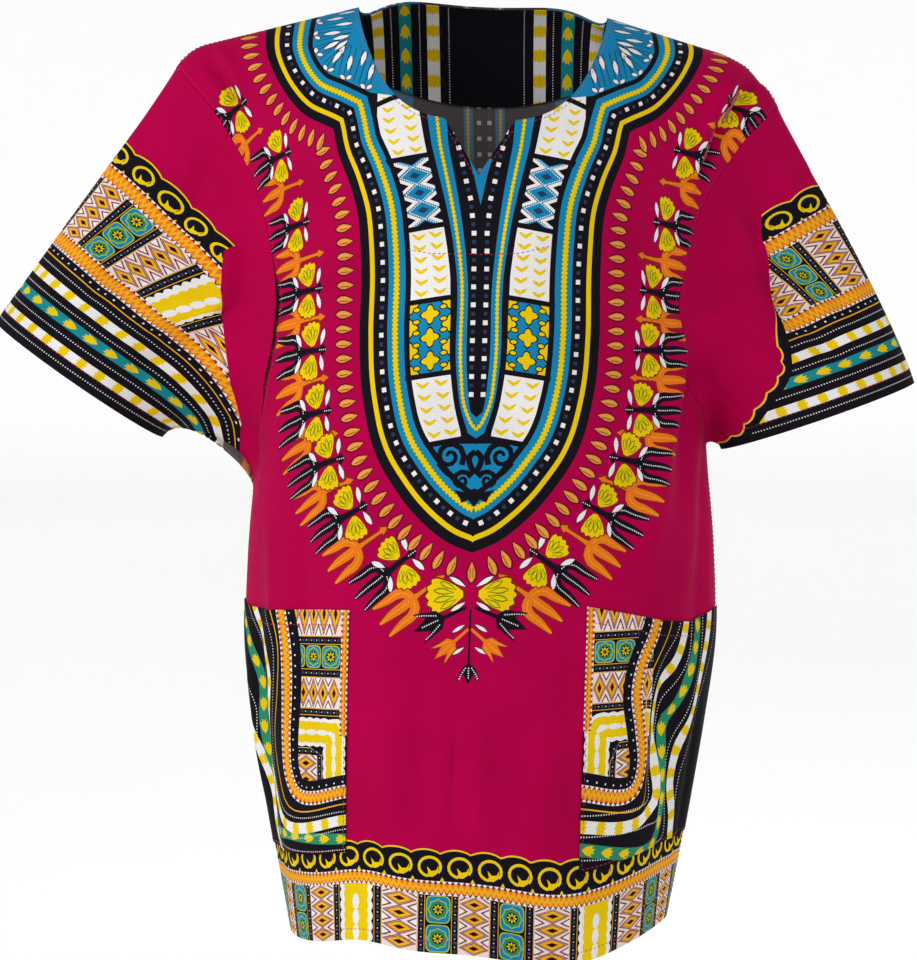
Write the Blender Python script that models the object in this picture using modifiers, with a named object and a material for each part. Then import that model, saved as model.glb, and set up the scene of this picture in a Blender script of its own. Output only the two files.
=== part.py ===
"""Dashiki shirt, holding the shape it has when worn, with nobody in it.

Lengths are metres, +Z is up and the front faces -Y. The origin lies on the shoulder line, midway
between the two ends of the neckline, where a wearer's shoulders carry the shirt. Left and right are the
wearer's, so the left sleeve lies at +X.

A panel is worked out from two numbers. `across` is the distance along the cloth from the panel's centre
line. `climb` runs from 0 at the hem to 1 at the chest line and 2 at the shoulder seam.
"""

import math
from collections import namedtuple

import bmesh
import bpy
import numpy as np

# Cloth
CLOTH_THICKNESS = 0.0015
TRIM_THICKNESS = 0.0012
SEAM_GAP = 0.0003

# Body of the shirt: ovals, each a flatter arc over the chest or back and a tighter arc round the side
HEM_HEIGHT = -0.737
CHEST_HEIGHT = -0.250
OVAL_TURN = math.radians(50.0)
Ring = namedtuple("Ring", "height half_width front_depth back_depth")
RINGS = (
    Ring(-0.737, 0.154, 0.158, 0.146),
    Ring(-0.700, 0.161, 0.161, 0.149),
    Ring(-0.640, 0.172, 0.163, 0.151),
    Ring(-0.580, 0.182, 0.163, 0.151),
    Ring(-0.510, 0.191, 0.160, 0.148),
    Ring(-0.440, 0.190, 0.155, 0.142),
    Ring(-0.360, 0.184, 0.147, 0.137),
    Ring(-0.250, 0.180, 0.140, 0.135),
)

# Shoulders: the line's tilt grows from level at the centre to the slope, then rounds over the tip; the
# cloth near the tip is drawn towards the centre, and each panel arches over to the line
NECK_HALF_WIDTH = 0.103
SHOULDER_TILT = math.radians(15.0)
SHOULDER_SLOPES_FROM = 0.080
SHOULDER_TIP = 0.265
Bend = namedtuple("Bend", "start tip_tilt")
RIGHT_SHOULDER = Bend(0.232, math.radians(58.0))
LEFT_SHOULDER = Bend(0.195, math.radians(66.0))
BACK_NECK_RISE = 0.022
ARMHOLE_DRAW = 0.055
ARMHOLE_DRAWN_BY = 0.55
FRONT_ARCH_ROUNDNESS = 2.2
BACK_ARCH_ROUNDNESS = 3.0

# How it hangs: turned about +Z, slanted across and swayed to one side
SHOULDER_TURN = math.radians(2.5)
HEM_TURN = math.radians(-3.3)
SHOULDER_SLANT = -0.045
HEM_SLANT = 0.055
HEM_SWAY = -0.004
# How far the hem hangs below its ring, as bells across
Sag = namedtuple("Sag", "x width drop")
HEM_SAGS = (Sag(0.084, 0.058, 0.018), Sag(-0.077, 0.032, -0.0075))
SAG_FROM = 0.560
SAG_BY = 0.700

# Neckline and slit, as climbs
NECK_ROUNDNESS = 3.0
FRONT_NECK_CLIMB = 1.358
SLIT_CORNER_CLIMB = 1.355
SLIT_TIP_CLIMB = 1.246
SLIT_HALF_WIDTH = 0.026
BACK_NECK_ROUNDNESS = 2.4
BACK_NECK_CLIMB = 1.659

# Armhole: how far from the centre line a panel reaches at each climb above the armpit, and the sag of
# the cloth under the raised right arm
Reach = namedtuple("Reach", "climb across")
ARMHOLE = (
    Reach(0.786, 0.2590),
    Reach(0.830, 0.2360),
    Reach(0.875, 0.2140),
    Reach(0.940, 0.1930),
    Reach(1.030, 0.1820),
    Reach(1.150, 0.2030),
    Reach(1.320, 0.2360),
    Reach(1.600, 0.2580),
    Reach(2.000, 0.2650),
)
ARMPIT_CLIMB = ARMHOLE[0].climb
UNDERARM_DROOP = 0.085
DROOP_FROM = 0.110
DROOP_SPREAD = 0.18

# Sleeves: each cuff is an oval ring, tilted down from level at its outer end and turned about +Z
Cuff = namedtuple("Cuff", "x y z half_width half_depth tilt turn")
CUFFS = {
    "sleeve_right": Cuff(-0.3335, 0.000, -0.2975, 0.0830, 0.0660, math.radians(35.0), 0.0),
    "sleeve_left": Cuff(0.2735, 0.010, -0.3280, 0.0850, 0.0540, math.radians(19.0), math.radians(14.0)),
}
SLEEVE_LEAVES_BODY = 0.17
SLEEVE_MEETS_CUFF = 0.20

# Step along the cloth over which a direction is measured, and points closer than WELD are one
NEARBY = 1e-4
WELD = 1e-6

# Pockets and facing
POCKET_INNER_EDGE = 0.0935
POCKET_TOP_HEIGHT = -0.480
POCKET_BOTTOM_HEIGHT = -0.668
FACING_GAP = 0.0010

# Soft folds of the body, each a ridge between two heights at one place across the cloth
Fold = namedtuple("Fold", "panel across bottom top width height")
FOLDS = (
    Fold("front", -0.205, -0.76, -0.42, 0.022, -0.0050),
    Fold("front", -0.158, -0.70, -0.40, 0.020, 0.0030),
    Fold("front", 0.190, -0.76, -0.45, 0.022, -0.0045),
    Fold("front", 0.040, -0.76, -0.52, 0.024, -0.0025),
    Fold("back", -0.170, -0.76, -0.36, 0.024, -0.0050),
    Fold("back", -0.060, -0.76, -0.50, 0.022, 0.0035),
    Fold("back", 0.075, -0.76, -0.44, 0.024, -0.0040),
    Fold("back", 0.195, -0.76, -0.40, 0.022, -0.0050),
)

# Cloth colours, linear
GROUND_COLOUR = (0.456, 0.0, 0.076)
BORDER_COLOUR = (0.45, 0.33, 0.05)
FACING_COLOUR = (0.010, 0.009, 0.012)
COTTON_ROUGHNESS = 0.80

# Columns and rows
SLIT_COLUMNS = 3
INNER_COLUMNS = 4
COLLAR_COLUMNS = 3
SIDE_COLUMNS = 7
HEM_ROWS = 3
POCKET_ROWS = 7
WAIST_ROWS = 4
ARM_ROWS = 5
CHEST_ROWS = 8
SLEEVE_ROWS = 9
FACING_ROWS = 3
FACING_SIDE_COLUMNS = 1


def smooth_curve(at, places, values):
    """A cubic through the given values, whose slope at each is that between its two neighbours."""
    places = np.asarray(places, float)
    values = np.asarray(values, float)
    slopes = np.gradient(values, places)
    start = np.clip(np.searchsorted(places, at) - 1, 0, len(places) - 2)
    span = places[start + 1] - places[start]
    part = np.clip((at - places[start]) / span, 0.0, 1.0)
    rise = part * part * (3.0 - 2.0 * part)
    lead = part * (1.0 - part) ** 2 * span * slopes[start]
    trail = part * part * (part - 1.0) * span * slopes[start + 1]
    return values[start] * (1.0 - rise) + values[start + 1] * rise + lead + trail


def climb_at(height):
    return (height - HEM_HEIGHT) / (CHEST_HEIGHT - HEM_HEIGHT)


def height_at(climb):
    """The height a climb stands for, which stays at the chest line above it."""
    return HEM_HEIGHT + (CHEST_HEIGHT - HEM_HEIGHT) * np.minimum(climb, 1.0)


def smooth_step(part):
    """0 below 0, 1 above 1, and a smooth rise between."""
    part = np.clip(part, 0.0, 1.0)
    return part * part * (3.0 - 2.0 * part)


def rounded_square(angle, roundness):
    """The point (cos side, sin side) at a polar angle on the curve |p|**n + |q|**n = 1."""
    p = np.cos(angle)
    q = np.sin(angle)
    reach = (np.abs(p) ** roundness + np.abs(q) ** roundness) ** (-1.0 / roundness)
    return p * reach, q * reach


def ring_size(height, panel):
    """Half-width and depth of the oval at a height."""
    heights = [ring.height for ring in RINGS]
    depths = [ring.front_depth if panel == "front" else ring.back_depth for ring in RINGS]
    half_width = smooth_curve(height, heights, [ring.half_width for ring in RINGS])
    return half_width, smooth_curve(height, heights, depths)


def oval_arcs(half_width, depth):
    """Radii of the two arcs of a quarter of the oval: centre line to OVAL_TURN, then round the side."""
    sine = math.sin(OVAL_TURN)
    cosine = math.cos(OVAL_TURN)
    share = sine + cosine - 1.0
    centre_radius = (half_width * cosine - depth * (1.0 - sine)) / share
    side_radius = (depth * sine - half_width * (1.0 - cosine)) / share
    return centre_radius, side_radius


def side_reach(height, panel):
    """Distance along the cloth from the centre line to the side seam."""
    centre_radius, side_radius = oval_arcs(*ring_size(height, panel))
    return centre_radius * OVAL_TURN + side_radius * (math.pi / 2 - OVAL_TURN)


def oval_point(across, height, panel):
    """x and depth (forward of the side seams) of the cloth's point at a distance along the oval."""
    half_width, depth = ring_size(height, panel)
    centre_radius, side_radius = oval_arcs(half_width, depth)
    reach = np.abs(across)
    on_centre = np.minimum(reach, centre_radius * OVAL_TURN) / centre_radius
    on_side = OVAL_TURN + np.maximum(reach - centre_radius * OVAL_TURN, 0.0) / side_radius
    on_side = np.minimum(on_side, math.pi / 2 + 0.3)
    x = centre_radius * np.sin(on_centre) + side_radius * (np.sin(on_side) - math.sin(OVAL_TURN))
    turned_away = centre_radius * (1.0 - np.cos(on_centre))
    turned_away = turned_away + side_radius * (math.cos(OVAL_TURN) - np.cos(on_side))
    return np.sign(across) * x, depth - turned_away


def shoulder_line(across):
    """x and z of the shoulder line, found by adding up short steps along its growing tilt."""
    steps = np.linspace(0.0, 0.30, 301)
    size = steps[1] - steps[0]
    reach = np.abs(across)
    sides = []
    for shoulder in (RIGHT_SHOULDER, LEFT_SHOULDER):
        bend = np.clip((steps - shoulder.start) / (SHOULDER_TIP - shoulder.start), 0.0, 1.0)
        tilt = SHOULDER_TILT * smooth_step(steps / SHOULDER_SLOPES_FROM)
        tilt = tilt + (shoulder.tip_tilt - SHOULDER_TILT) * bend
        x = np.concatenate([[0.0], np.cumsum(np.cos(tilt[1:]) * size)])
        z = np.concatenate([[0.0], np.cumsum(-np.sin(tilt[1:]) * size)])
        z = z - np.interp(NECK_HALF_WIDTH, steps, z)
        sides.append((np.sign(across) * np.interp(reach, steps, x), np.interp(reach, steps, z)))
    (right_x, right_z), (left_x, left_z) = sides
    return np.where(across < 0.0, right_x, left_x), np.where(across < 0.0, right_z, left_z)


def fold_height(across, height, panel):
    """How far the soft folds stand out of the smooth panel."""
    total = np.zeros(np.shape(across))
    for fold in FOLDS:
        if fold.panel != panel:
            continue
        middle = (fold.bottom + fold.top) / 2
        half = (fold.top - fold.bottom) / 2
        along = np.clip(1.0 - ((height - middle) / half) ** 2, 0.0, 1.0)
        total = total + fold.height * along * np.exp(-(((across - fold.across) / fold.width) ** 2))
    return total


def drooped(across, climb):
    """How much climb the cloth under the right arm has lost, where the raised sleeve lets it sag."""
    near_side = smooth_step((-across - DROOP_FROM) / (SHOULDER_TIP - DROOP_FROM))
    return UNDERARM_DROOP * near_side * np.exp(-(((climb - ARMPIT_CLIMB) / DROOP_SPREAD) ** 2))


def settled(points):
    """The points as the shirt hangs, each height with its own small turn, slant and sway, and the hem's sag."""
    x, y, z = np.moveaxis(points, -1, 0)
    down = z / HEM_HEIGHT
    turn = SHOULDER_TURN + (HEM_TURN - SHOULDER_TURN) * down
    slant = SHOULDER_SLANT + (HEM_SLANT - SHOULDER_SLANT) * down
    turned_x = x * np.cos(turn) - y * np.sin(turn) + HEM_SWAY * down
    turned_y = x * np.sin(turn) + y * np.cos(turn)
    sag = sum(sag.drop * np.exp(-(((x - sag.x) / sag.width) ** 2)) for sag in HEM_SAGS)
    sag = sag * smooth_step((-z - SAG_FROM) / (SAG_BY - SAG_FROM))
    return np.stack([turned_x, turned_y, z + x * slant - sag], axis=-1)


def panel_point(across, climb, panel):
    """Point of a panel: on its height's oval up to the chest line, then over an arch to the shoulder."""
    facing = -1.0 if panel == "front" else 1.0
    roundness = FRONT_ARCH_ROUNDNESS if panel == "front" else BACK_ARCH_ROUNDNESS
    flat_reach = side_reach(height_at(climb), panel)
    climb = climb - drooped(across, climb)
    height = height_at(climb)
    forward, upward = rounded_square(np.maximum(climb - 1.0, 0.0) * math.pi / 2, roundness)
    drawn_in = ARMHOLE_DRAW * (across / SHOULDER_TIP) ** 3 * smooth_step(upward / ARMHOLE_DRAWN_BY)
    on_oval = (across - drawn_in) * side_reach(height, panel) / flat_reach
    x, depth = oval_point(on_oval, height, panel)
    top_x, top_z = shoulder_line(across)
    if panel == "back":
        top_z = top_z + BACK_NECK_RISE * np.clip(1.0 - (across / NECK_HALF_WIDTH) ** 6, 0.0, 1.0) ** 2
    swell = fold_height(across, height, panel)
    half_width, deepest = ring_size(height, panel)
    outward_x = x / half_width**2
    outward_y = depth / deepest**2
    length = np.sqrt(outward_x**2 + outward_y**2)
    x = x + swell * outward_x / length
    depth = depth + swell * outward_y / length
    x = x + (top_x - x) * upward**2
    y = facing * (depth * forward + SEAM_GAP / 2)
    z = height + (top_z - CHEST_HEIGHT) * upward
    return settled(np.stack([x, y, z], axis=-1))


def edge_reach(climb, panel):
    """Distance from the centre line to the panel's edge: its side seam, then its armhole."""
    side = side_reach(height_at(climb), panel)
    armhole = smooth_curve(climb, [row.climb for row in ARMHOLE], [row.across for row in ARMHOLE])
    blend = np.clip((climb - ARMPIT_CLIMB) / (ARMHOLE[1].climb - ARMPIT_CLIMB), 0.0, 1.0)
    armpit_reach = side_reach(height_at(ARMPIT_CLIMB), panel)
    armhole = armhole + (armpit_reach - ARMHOLE[0].across) * (1.0 - blend)
    return np.where(climb <= ARMPIT_CLIMB, side, armhole)


def steps_between(*runs):
    """Evenly spaced values through runs of (start, end, count), each run starting where the last ended."""
    values = [np.linspace(start, end, count + 1)[:-1] for start, end, count in runs]
    return np.concatenate([*values, [runs[-1][1]]])


def neck_columns(panel):
    """Distance and top climb of each column from the centre line to the end of the neckline."""
    corner = math.asin(SLIT_HALF_WIDTH / NECK_HALF_WIDTH)
    pocket = math.asin(POCKET_INNER_EDGE / NECK_HALF_WIDTH)
    angles = steps_between(
        (0.0, corner, SLIT_COLUMNS), (corner, pocket, INNER_COLUMNS), (pocket, math.pi / 2, COLLAR_COLUMNS)
    )
    across = NECK_HALF_WIDTH * np.sin(angles)
    if panel == "front":
        lowest, roundness = FRONT_NECK_CLIMB, NECK_ROUNDNESS
    else:
        lowest, roundness = BACK_NECK_CLIMB, BACK_NECK_ROUNDNESS
    dip = (1.0 - np.minimum(across / NECK_HALF_WIDTH, 1.0) ** roundness) ** (1.0 / roundness)
    top = 2.0 - (2.0 - lowest) * dip
    if panel == "front":
        slit = across <= SLIT_HALF_WIDTH + 1e-9
        slope = (SLIT_CORNER_CLIMB - SLIT_TIP_CLIMB) / SLIT_HALF_WIDTH
        top = np.where(slit, SLIT_TIP_CLIMB + slope * across, top)
    return across, top


def panel_rows():
    """Climbs of the rows up to the chest line, then shares of the way from it to a column's top."""
    pocket_bottom = climb_at(POCKET_BOTTOM_HEIGHT)
    pocket_top = climb_at(POCKET_TOP_HEIGHT)
    low = steps_between(
        (0.0, pocket_bottom, HEM_ROWS),
        (pocket_bottom, pocket_top, POCKET_ROWS),
        (pocket_top, ARMPIT_CLIMB, WAIST_ROWS),
        (ARMPIT_CLIMB, 1.0, ARM_ROWS),
    )
    return low, np.linspace(0.0, 1.0, CHEST_ROWS + 1)[1:]


def panel_layout(panel):
    """Distance and climb of every grid point of a panel, rows first, from its right side to its left."""
    neck_across, neck_top = neck_columns(panel)
    low, high = panel_rows()
    part = np.linspace(0.0, 1.0, SIDE_COLUMNS + 1)[1:]
    tops = np.concatenate([neck_top, np.full(SIDE_COLUMNS, 2.0)])
    climb = np.concatenate(
        [np.repeat(low[:, None], len(tops), axis=1), 1.0 + (tops - 1.0)[None, :] * high[:, None]]
    )
    side_climb = climb[:, len(neck_across) :]
    side = NECK_HALF_WIDTH + (edge_reach(side_climb, panel) - NECK_HALF_WIDTH) * part
    across = np.concatenate([np.repeat(neck_across[None, :], len(climb), axis=0), side], axis=1)
    return (
        np.concatenate([-across[:, :0:-1], across], axis=1),
        np.concatenate([climb[:, :0:-1], climb], axis=1),
    )


def lifted(cloth, shape, distance):
    """The grid points of a cloth moved along its normals, towards -Y where the distance is positive."""
    vertices = cloth.data.vertices
    points = np.array([vertex.co + vertex.normal * distance for vertex in vertices])
    return points.reshape(*shape, 3)


def add_material(name, colour):
    material = bpy.data.materials.new(name)
    material.use_nodes = True
    shader = material.node_tree.nodes["Principled BSDF"]
    shader.inputs["Base Color"].default_value = (*colour, 1.0)
    shader.inputs["Roughness"].default_value = COTTON_ROUGHNESS
    shader.inputs["Metallic"].default_value = 0.0
    return material


def add_cloth(name, points, thickness, material, closed=False):
    """A grid of points as cloth of even thickness, half of it on each side; closed joins its two sides."""
    rows, columns = points.shape[:2]
    mesh = bpy.data.meshes.new(name)
    shape = bmesh.new()
    bmesh.ops.create_grid(shape, x_segments=columns - 1, y_segments=rows - 1, size=1.0)
    shape.verts.ensure_lookup_table()
    for vertex, place in zip(shape.verts, points.reshape(-1, 3)):
        vertex.co = place
    if closed:
        bmesh.ops.remove_doubles(shape, verts=shape.verts, dist=WELD)
    bmesh.ops.triangulate(shape, faces=shape.faces, quad_method="FIXED")
    shape.to_mesh(mesh)
    shape.free()
    mesh.shade_smooth()
    mesh.materials.append(material)
    cloth = bpy.data.objects.new(name, mesh)
    wall = cloth.modifiers.new("wall", "SOLIDIFY")
    wall.thickness = thickness
    wall.offset = 0.0
    collection.objects.link(cloth)
    return cloth


def armhole_edge(panel, side):
    """Points of a panel's armhole edge from armpit to shoulder tip, and the way the cloth leaves each."""
    low, high = panel_rows()
    climb = np.concatenate([low[low > ARMPIT_CLIMB - 1e-9], 1.0 + high])
    across = edge_reach(climb, panel) * side
    points = panel_point(across, climb, panel)
    outer = panel_point(across + NEARBY * side, climb, panel)
    inner = panel_point(across - NEARBY * side, climb, panel)
    sideways = outer - inner
    edge = np.gradient(points, axis=0)
    edge = edge / np.linalg.norm(edge, axis=-1, keepdims=True)
    leaving = sideways - edge * np.sum(sideways * edge, axis=-1, keepdims=True)
    return points, leaving / np.linalg.norm(leaving, axis=-1, keepdims=True)


def armhole_loop(side):
    """The whole armhole as a closed loop from the shoulder tip down the front and up the back."""
    front, front_leaving = armhole_edge("front", side)
    back, back_leaving = armhole_edge("back", side)
    ends = (front[[0, -1]] + back[[0, -1]]) / 2
    end_leaving = front_leaving[[0, -1]] + back_leaving[[0, -1]]
    end_leaving = end_leaving / np.linalg.norm(end_leaving, axis=-1, keepdims=True)
    loop = np.concatenate([ends[1:], front[-2:0:-1], ends[:1], back[1:-1], ends[1:]])
    leaving = np.concatenate(
        [end_leaving[1:], front_leaving[-2:0:-1], end_leaving[:1], back_leaving[1:-1], end_leaving[1:]]
    )
    return loop, leaving, len(front) - 1


def sleeve_points(name):
    """Rings from the armhole to the cuff; each thread leaves in the panel's surface and ends along the arm."""
    cuff = CUFFS[name]
    side = math.copysign(1.0, cuff.x)
    loop, leaving, half = armhole_loop(side)
    steps = np.linalg.norm(np.diff(loop, axis=0), axis=1)
    length = np.concatenate([[0.0], np.cumsum(steps)])
    down_front = math.pi * length[: half + 1] / length[half]
    up_back = math.pi * (1.0 + (length[half:] - length[half]) / (length[-1] - length[half]))
    angle = np.concatenate([down_front, up_back[1:]])[:, None]
    cos_turn, sin_turn = math.cos(cuff.turn), math.sin(cuff.turn)
    level = math.cos(cuff.tilt)
    outward = np.array([side * level * cos_turn, level * sin_turn, math.sin(cuff.tilt)])
    frontward = np.array([side * sin_turn, -cos_turn, 0.0])
    arm = np.cross(outward, frontward) * side
    centre = np.array([cuff.x, cuff.y, cuff.z])
    ring = centre + outward * cuff.half_width * np.cos(angle)
    ring = ring + frontward * cuff.half_depth * np.sin(angle)
    part = np.linspace(0.0, 1.0, SLEEVE_ROWS + 1)[:, None, None]
    rise = part * part * (3.0 - 2.0 * part)
    lead = part * (1.0 - part) ** 2 * SLEEVE_LEAVES_BODY
    trail = part * part * (part - 1.0) * SLEEVE_MEETS_CUFF
    start = loop + leaving * SEAM_GAP
    return start * (1.0 - rise) + ring * rise + leaving * lead + arm * trail


def make_panel(panel, material):
    across, climb = panel_layout(panel)
    return add_cloth(panel + "_panel", panel_point(across, climb, panel), CLOTH_THICKNESS, material)


def make_pockets(front):
    border = add_material("border_cotton", BORDER_COLOUR)
    lift = CLOTH_THICKNESS / 2 + SEAM_GAP + TRIM_THICKNESS / 2
    raised = lifted(front, panel_layout("front")[0].shape, lift)
    rows = slice(HEM_ROWS, HEM_ROWS + POCKET_ROWS + 1)
    width = COLLAR_COLUMNS + SIDE_COLUMNS + 1
    add_cloth("pocket_right", raised[rows, :width], TRIM_THICKNESS, border)
    add_cloth("pocket_left", raised[rows, -width:], TRIM_THICKNESS, border)


def make_facing(back):
    black = add_material("facing_cotton", FACING_COLOUR)
    lift = CLOTH_THICKNESS / 2 + FACING_GAP + TRIM_THICKNESS / 2
    inside = lifted(back, panel_layout("back")[0].shape, lift)
    middle = inside.shape[1] // 2
    reach = SLIT_COLUMNS + INNER_COLUMNS + COLLAR_COLUMNS + FACING_SIDE_COLUMNS
    add_cloth(
        "back_neck_facing",
        inside[-FACING_ROWS - 1 :, middle - reach : middle + reach + 1],
        TRIM_THICKNESS,
        black,
    )


def make_sleeves(material):
    for name in CUFFS:
        add_cloth(name, sleeve_points(name), CLOTH_THICKNESS, material, closed=True)


for leftover in list(bpy.data.objects):
    bpy.data.objects.remove(leftover)
collection = bpy.data.collections.new("dashiki_shirt")
bpy.context.scene.collection.children.link(collection)
magenta = add_material("printed_cotton", GROUND_COLOUR)
front_panel = make_panel("front", magenta)
back_panel = make_panel("back", magenta)
make_pockets(front_panel)
make_facing(back_panel)
make_sleeves(magenta)
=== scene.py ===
"""Dashiki shirt: its printed cotton, cloth by cloth, laid on the frame of the packed part.

Lengths are metres, +Z is up and the front faces -Y. Left and right are the wearer's. Every cloth has flat
coordinates (u, v): u runs across from its centre line and v runs up from its lower edge, both in metres of
the cloth as it was cut. The print is drawn there as flat shapes, each painted over the ones before it.
"""

import math
from collections import namedtuple

import bmesh
import bpy
import numpy as np
from bpy.props import FloatProperty, FloatVectorProperty, PointerProperty
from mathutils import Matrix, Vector
from mathutils.geometry import delaunay_2d_cdt


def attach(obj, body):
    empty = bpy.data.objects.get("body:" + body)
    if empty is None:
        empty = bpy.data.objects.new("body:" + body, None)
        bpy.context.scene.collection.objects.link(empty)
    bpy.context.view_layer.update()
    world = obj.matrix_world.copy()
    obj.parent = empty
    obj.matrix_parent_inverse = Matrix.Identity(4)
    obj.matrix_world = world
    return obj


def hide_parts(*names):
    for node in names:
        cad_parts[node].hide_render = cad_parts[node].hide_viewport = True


bl_info = {
    "name": "Dashiki shirt",
    "version": (1, 0, 0),
    "blender": (4, 5, 0),
    "location": "View3D > Sidebar > Dashiki",
    "description": "Builds the printed cotton pieces of a dashiki shirt, and a studio around it",
    "category": "Add Mesh",
}

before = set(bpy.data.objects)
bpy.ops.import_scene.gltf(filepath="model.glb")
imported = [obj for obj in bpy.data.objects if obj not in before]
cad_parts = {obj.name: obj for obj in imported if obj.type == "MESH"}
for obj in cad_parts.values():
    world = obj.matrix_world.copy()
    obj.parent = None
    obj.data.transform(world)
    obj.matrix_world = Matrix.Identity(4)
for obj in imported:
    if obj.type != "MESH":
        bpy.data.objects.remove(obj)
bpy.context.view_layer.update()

# ---------------------------------------------------------------- shape of the shirt, as in the solids

SEAM_GAP = 0.0003

HEM_HEIGHT = -0.737
CHEST_HEIGHT = -0.250
BODY_LENGTH = CHEST_HEIGHT - HEM_HEIGHT
OVAL_TURN = math.radians(50.0)
Ring = namedtuple("Ring", "height half_width front_depth back_depth")
RINGS = [
    Ring(*row)
    for row in (
        (-0.737, 0.154, 0.158, 0.146), (-0.700, 0.161, 0.161, 0.149), (-0.640, 0.172, 0.163, 0.151),
        (-0.580, 0.182, 0.163, 0.151), (-0.510, 0.191, 0.160, 0.148), (-0.440, 0.190, 0.155, 0.142),
        (-0.360, 0.184, 0.147, 0.137), (-0.250, 0.180, 0.140, 0.135),
    )
]

NECK_HALF_WIDTH = 0.103
SHOULDER_TILT = math.radians(15.0)
SHOULDER_SLOPES_FROM = 0.080
SHOULDER_TIP = 0.265
Bend = namedtuple("Bend", "start tip_tilt")
RIGHT_SHOULDER = Bend(0.232, math.radians(58.0))
LEFT_SHOULDER = Bend(0.195, math.radians(66.0))
BACK_NECK_RISE = 0.022
ARMHOLE_DRAW = 0.055
ARMHOLE_DRAWN_BY = 0.55
ARCH_ROUNDNESS = {"front": 2.2, "back": 3.0}

SHOULDER_TURN = math.radians(2.5)
HEM_TURN = math.radians(-3.3)
SHOULDER_SLANT = -0.045
HEM_SLANT = 0.055
HEM_SWAY = -0.004
# How far the hem hangs below its ring, as bells across
Sag = namedtuple("Sag", "x width drop")
HEM_SAGS = (Sag(0.084, 0.058, 0.018), Sag(-0.077, 0.032, -0.0075))
SAG_FROM = 0.560
SAG_BY = 0.700

NECK_ROUNDNESS = {"front": 3.0, "back": 2.4}
NECK_CLIMB = {"front": 1.358, "back": 1.659}
SLIT_CORNER_CLIMB = 1.355
SLIT_TIP_CLIMB = 1.246
SLIT_HALF_WIDTH = 0.026

Reach = namedtuple("Reach", "climb across")
ARMHOLE = [
    Reach(*row)
    for row in (
        (0.786, 0.2590), (0.830, 0.2360), (0.875, 0.2140), (0.940, 0.1930), (1.030, 0.1820), (1.150, 0.2030),
        (1.320, 0.2360), (1.600, 0.2580), (2.000, 0.2650),
    )
]
ARMPIT_CLIMB = ARMHOLE[0].climb
UNDERARM_DROOP = 0.085
DROOP_FROM = 0.110
DROOP_SPREAD = 0.18

Cuff = namedtuple("Cuff", "x y z half_width half_depth tilt turn")
CUFFS = {
    "sleeve_right": Cuff(-0.3335, 0.000, -0.2975, 0.0830, 0.0660, math.radians(35.0), 0.0),
    "sleeve_left": Cuff(0.2735, 0.010, -0.3280, 0.0850, 0.0540, math.radians(19.0), math.radians(14.0)),
}
SLEEVE_LEAVES_BODY = 0.17
SLEEVE_MEETS_CUFF = 0.20

POCKET_INNER_EDGE = 0.0935
POCKET_TOP_HEIGHT = -0.480
POCKET_BOTTOM_HEIGHT = -0.668
FACING_SHARE = 0.375
FACING_SIDE = 1.0 / 7.0

# Soft folds of the body that the solids have too
Fold = namedtuple("Fold", "panel across bottom top width height")
FOLDS = (
    Fold("front", -0.205, -0.76, -0.42, 0.022, -0.0050),
    Fold("front", -0.158, -0.70, -0.40, 0.020, 0.0030),
    Fold("front", 0.190, -0.76, -0.45, 0.022, -0.0045),
    Fold("front", 0.040, -0.76, -0.52, 0.024, -0.0025),
    Fold("back", -0.170, -0.76, -0.36, 0.024, -0.0050),
    Fold("back", -0.060, -0.76, -0.50, 0.022, 0.0035),
    Fold("back", 0.075, -0.76, -0.44, 0.024, -0.0040),
    Fold("back", 0.195, -0.76, -0.40, 0.022, -0.0050),
)


def smooth_curve(at, places, values):
    """A cubic through the given values, whose slope at each is that between its two neighbours."""
    places = np.asarray(places, float)
    values = np.asarray(values, float)
    slopes = np.gradient(values, places)
    start = np.clip(np.searchsorted(places, at) - 1, 0, len(places) - 2)
    span = places[start + 1] - places[start]
    part = np.clip((at - places[start]) / span, 0.0, 1.0)
    rise = part * part * (3.0 - 2.0 * part)
    lead = part * (1.0 - part) ** 2 * span * slopes[start]
    trail = part * part * (part - 1.0) * span * slopes[start + 1]
    return values[start] * (1.0 - rise) + values[start + 1] * rise + lead + trail


def smooth_step(part):
    """0 below 0, 1 above 1, and a smooth rise between."""
    part = np.clip(part, 0.0, 1.0)
    return part * part * (3.0 - 2.0 * part)


def climb_at(height):
    return (height - HEM_HEIGHT) / BODY_LENGTH


def height_at(climb):
    """The height a climb stands for, which stays at the chest line above it."""
    return HEM_HEIGHT + BODY_LENGTH * np.minimum(climb, 1.0)


def ring_size(height, panel):
    """Half-width and depth of the body's oval at a height."""
    heights = [ring.height for ring in RINGS]
    depths = [ring.front_depth if panel == "front" else ring.back_depth for ring in RINGS]
    half_width = smooth_curve(height, heights, [ring.half_width for ring in RINGS])
    return half_width, smooth_curve(height, heights, depths)


def oval_arcs(half_width, depth):
    """Radii of the two arcs of a quarter of the oval: centre line to OVAL_TURN, then round the side."""
    sine = math.sin(OVAL_TURN)
    cosine = math.cos(OVAL_TURN)
    share = sine + cosine - 1.0
    centre_radius = (half_width * cosine - depth * (1.0 - sine)) / share
    side_radius = (depth * sine - half_width * (1.0 - cosine)) / share
    return centre_radius, side_radius


def side_reach(height, panel):
    """Distance along the cloth from the centre line to the side seam."""
    centre_radius, side_radius = oval_arcs(*ring_size(height, panel))
    return centre_radius * OVAL_TURN + side_radius * (math.pi / 2 - OVAL_TURN)


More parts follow.
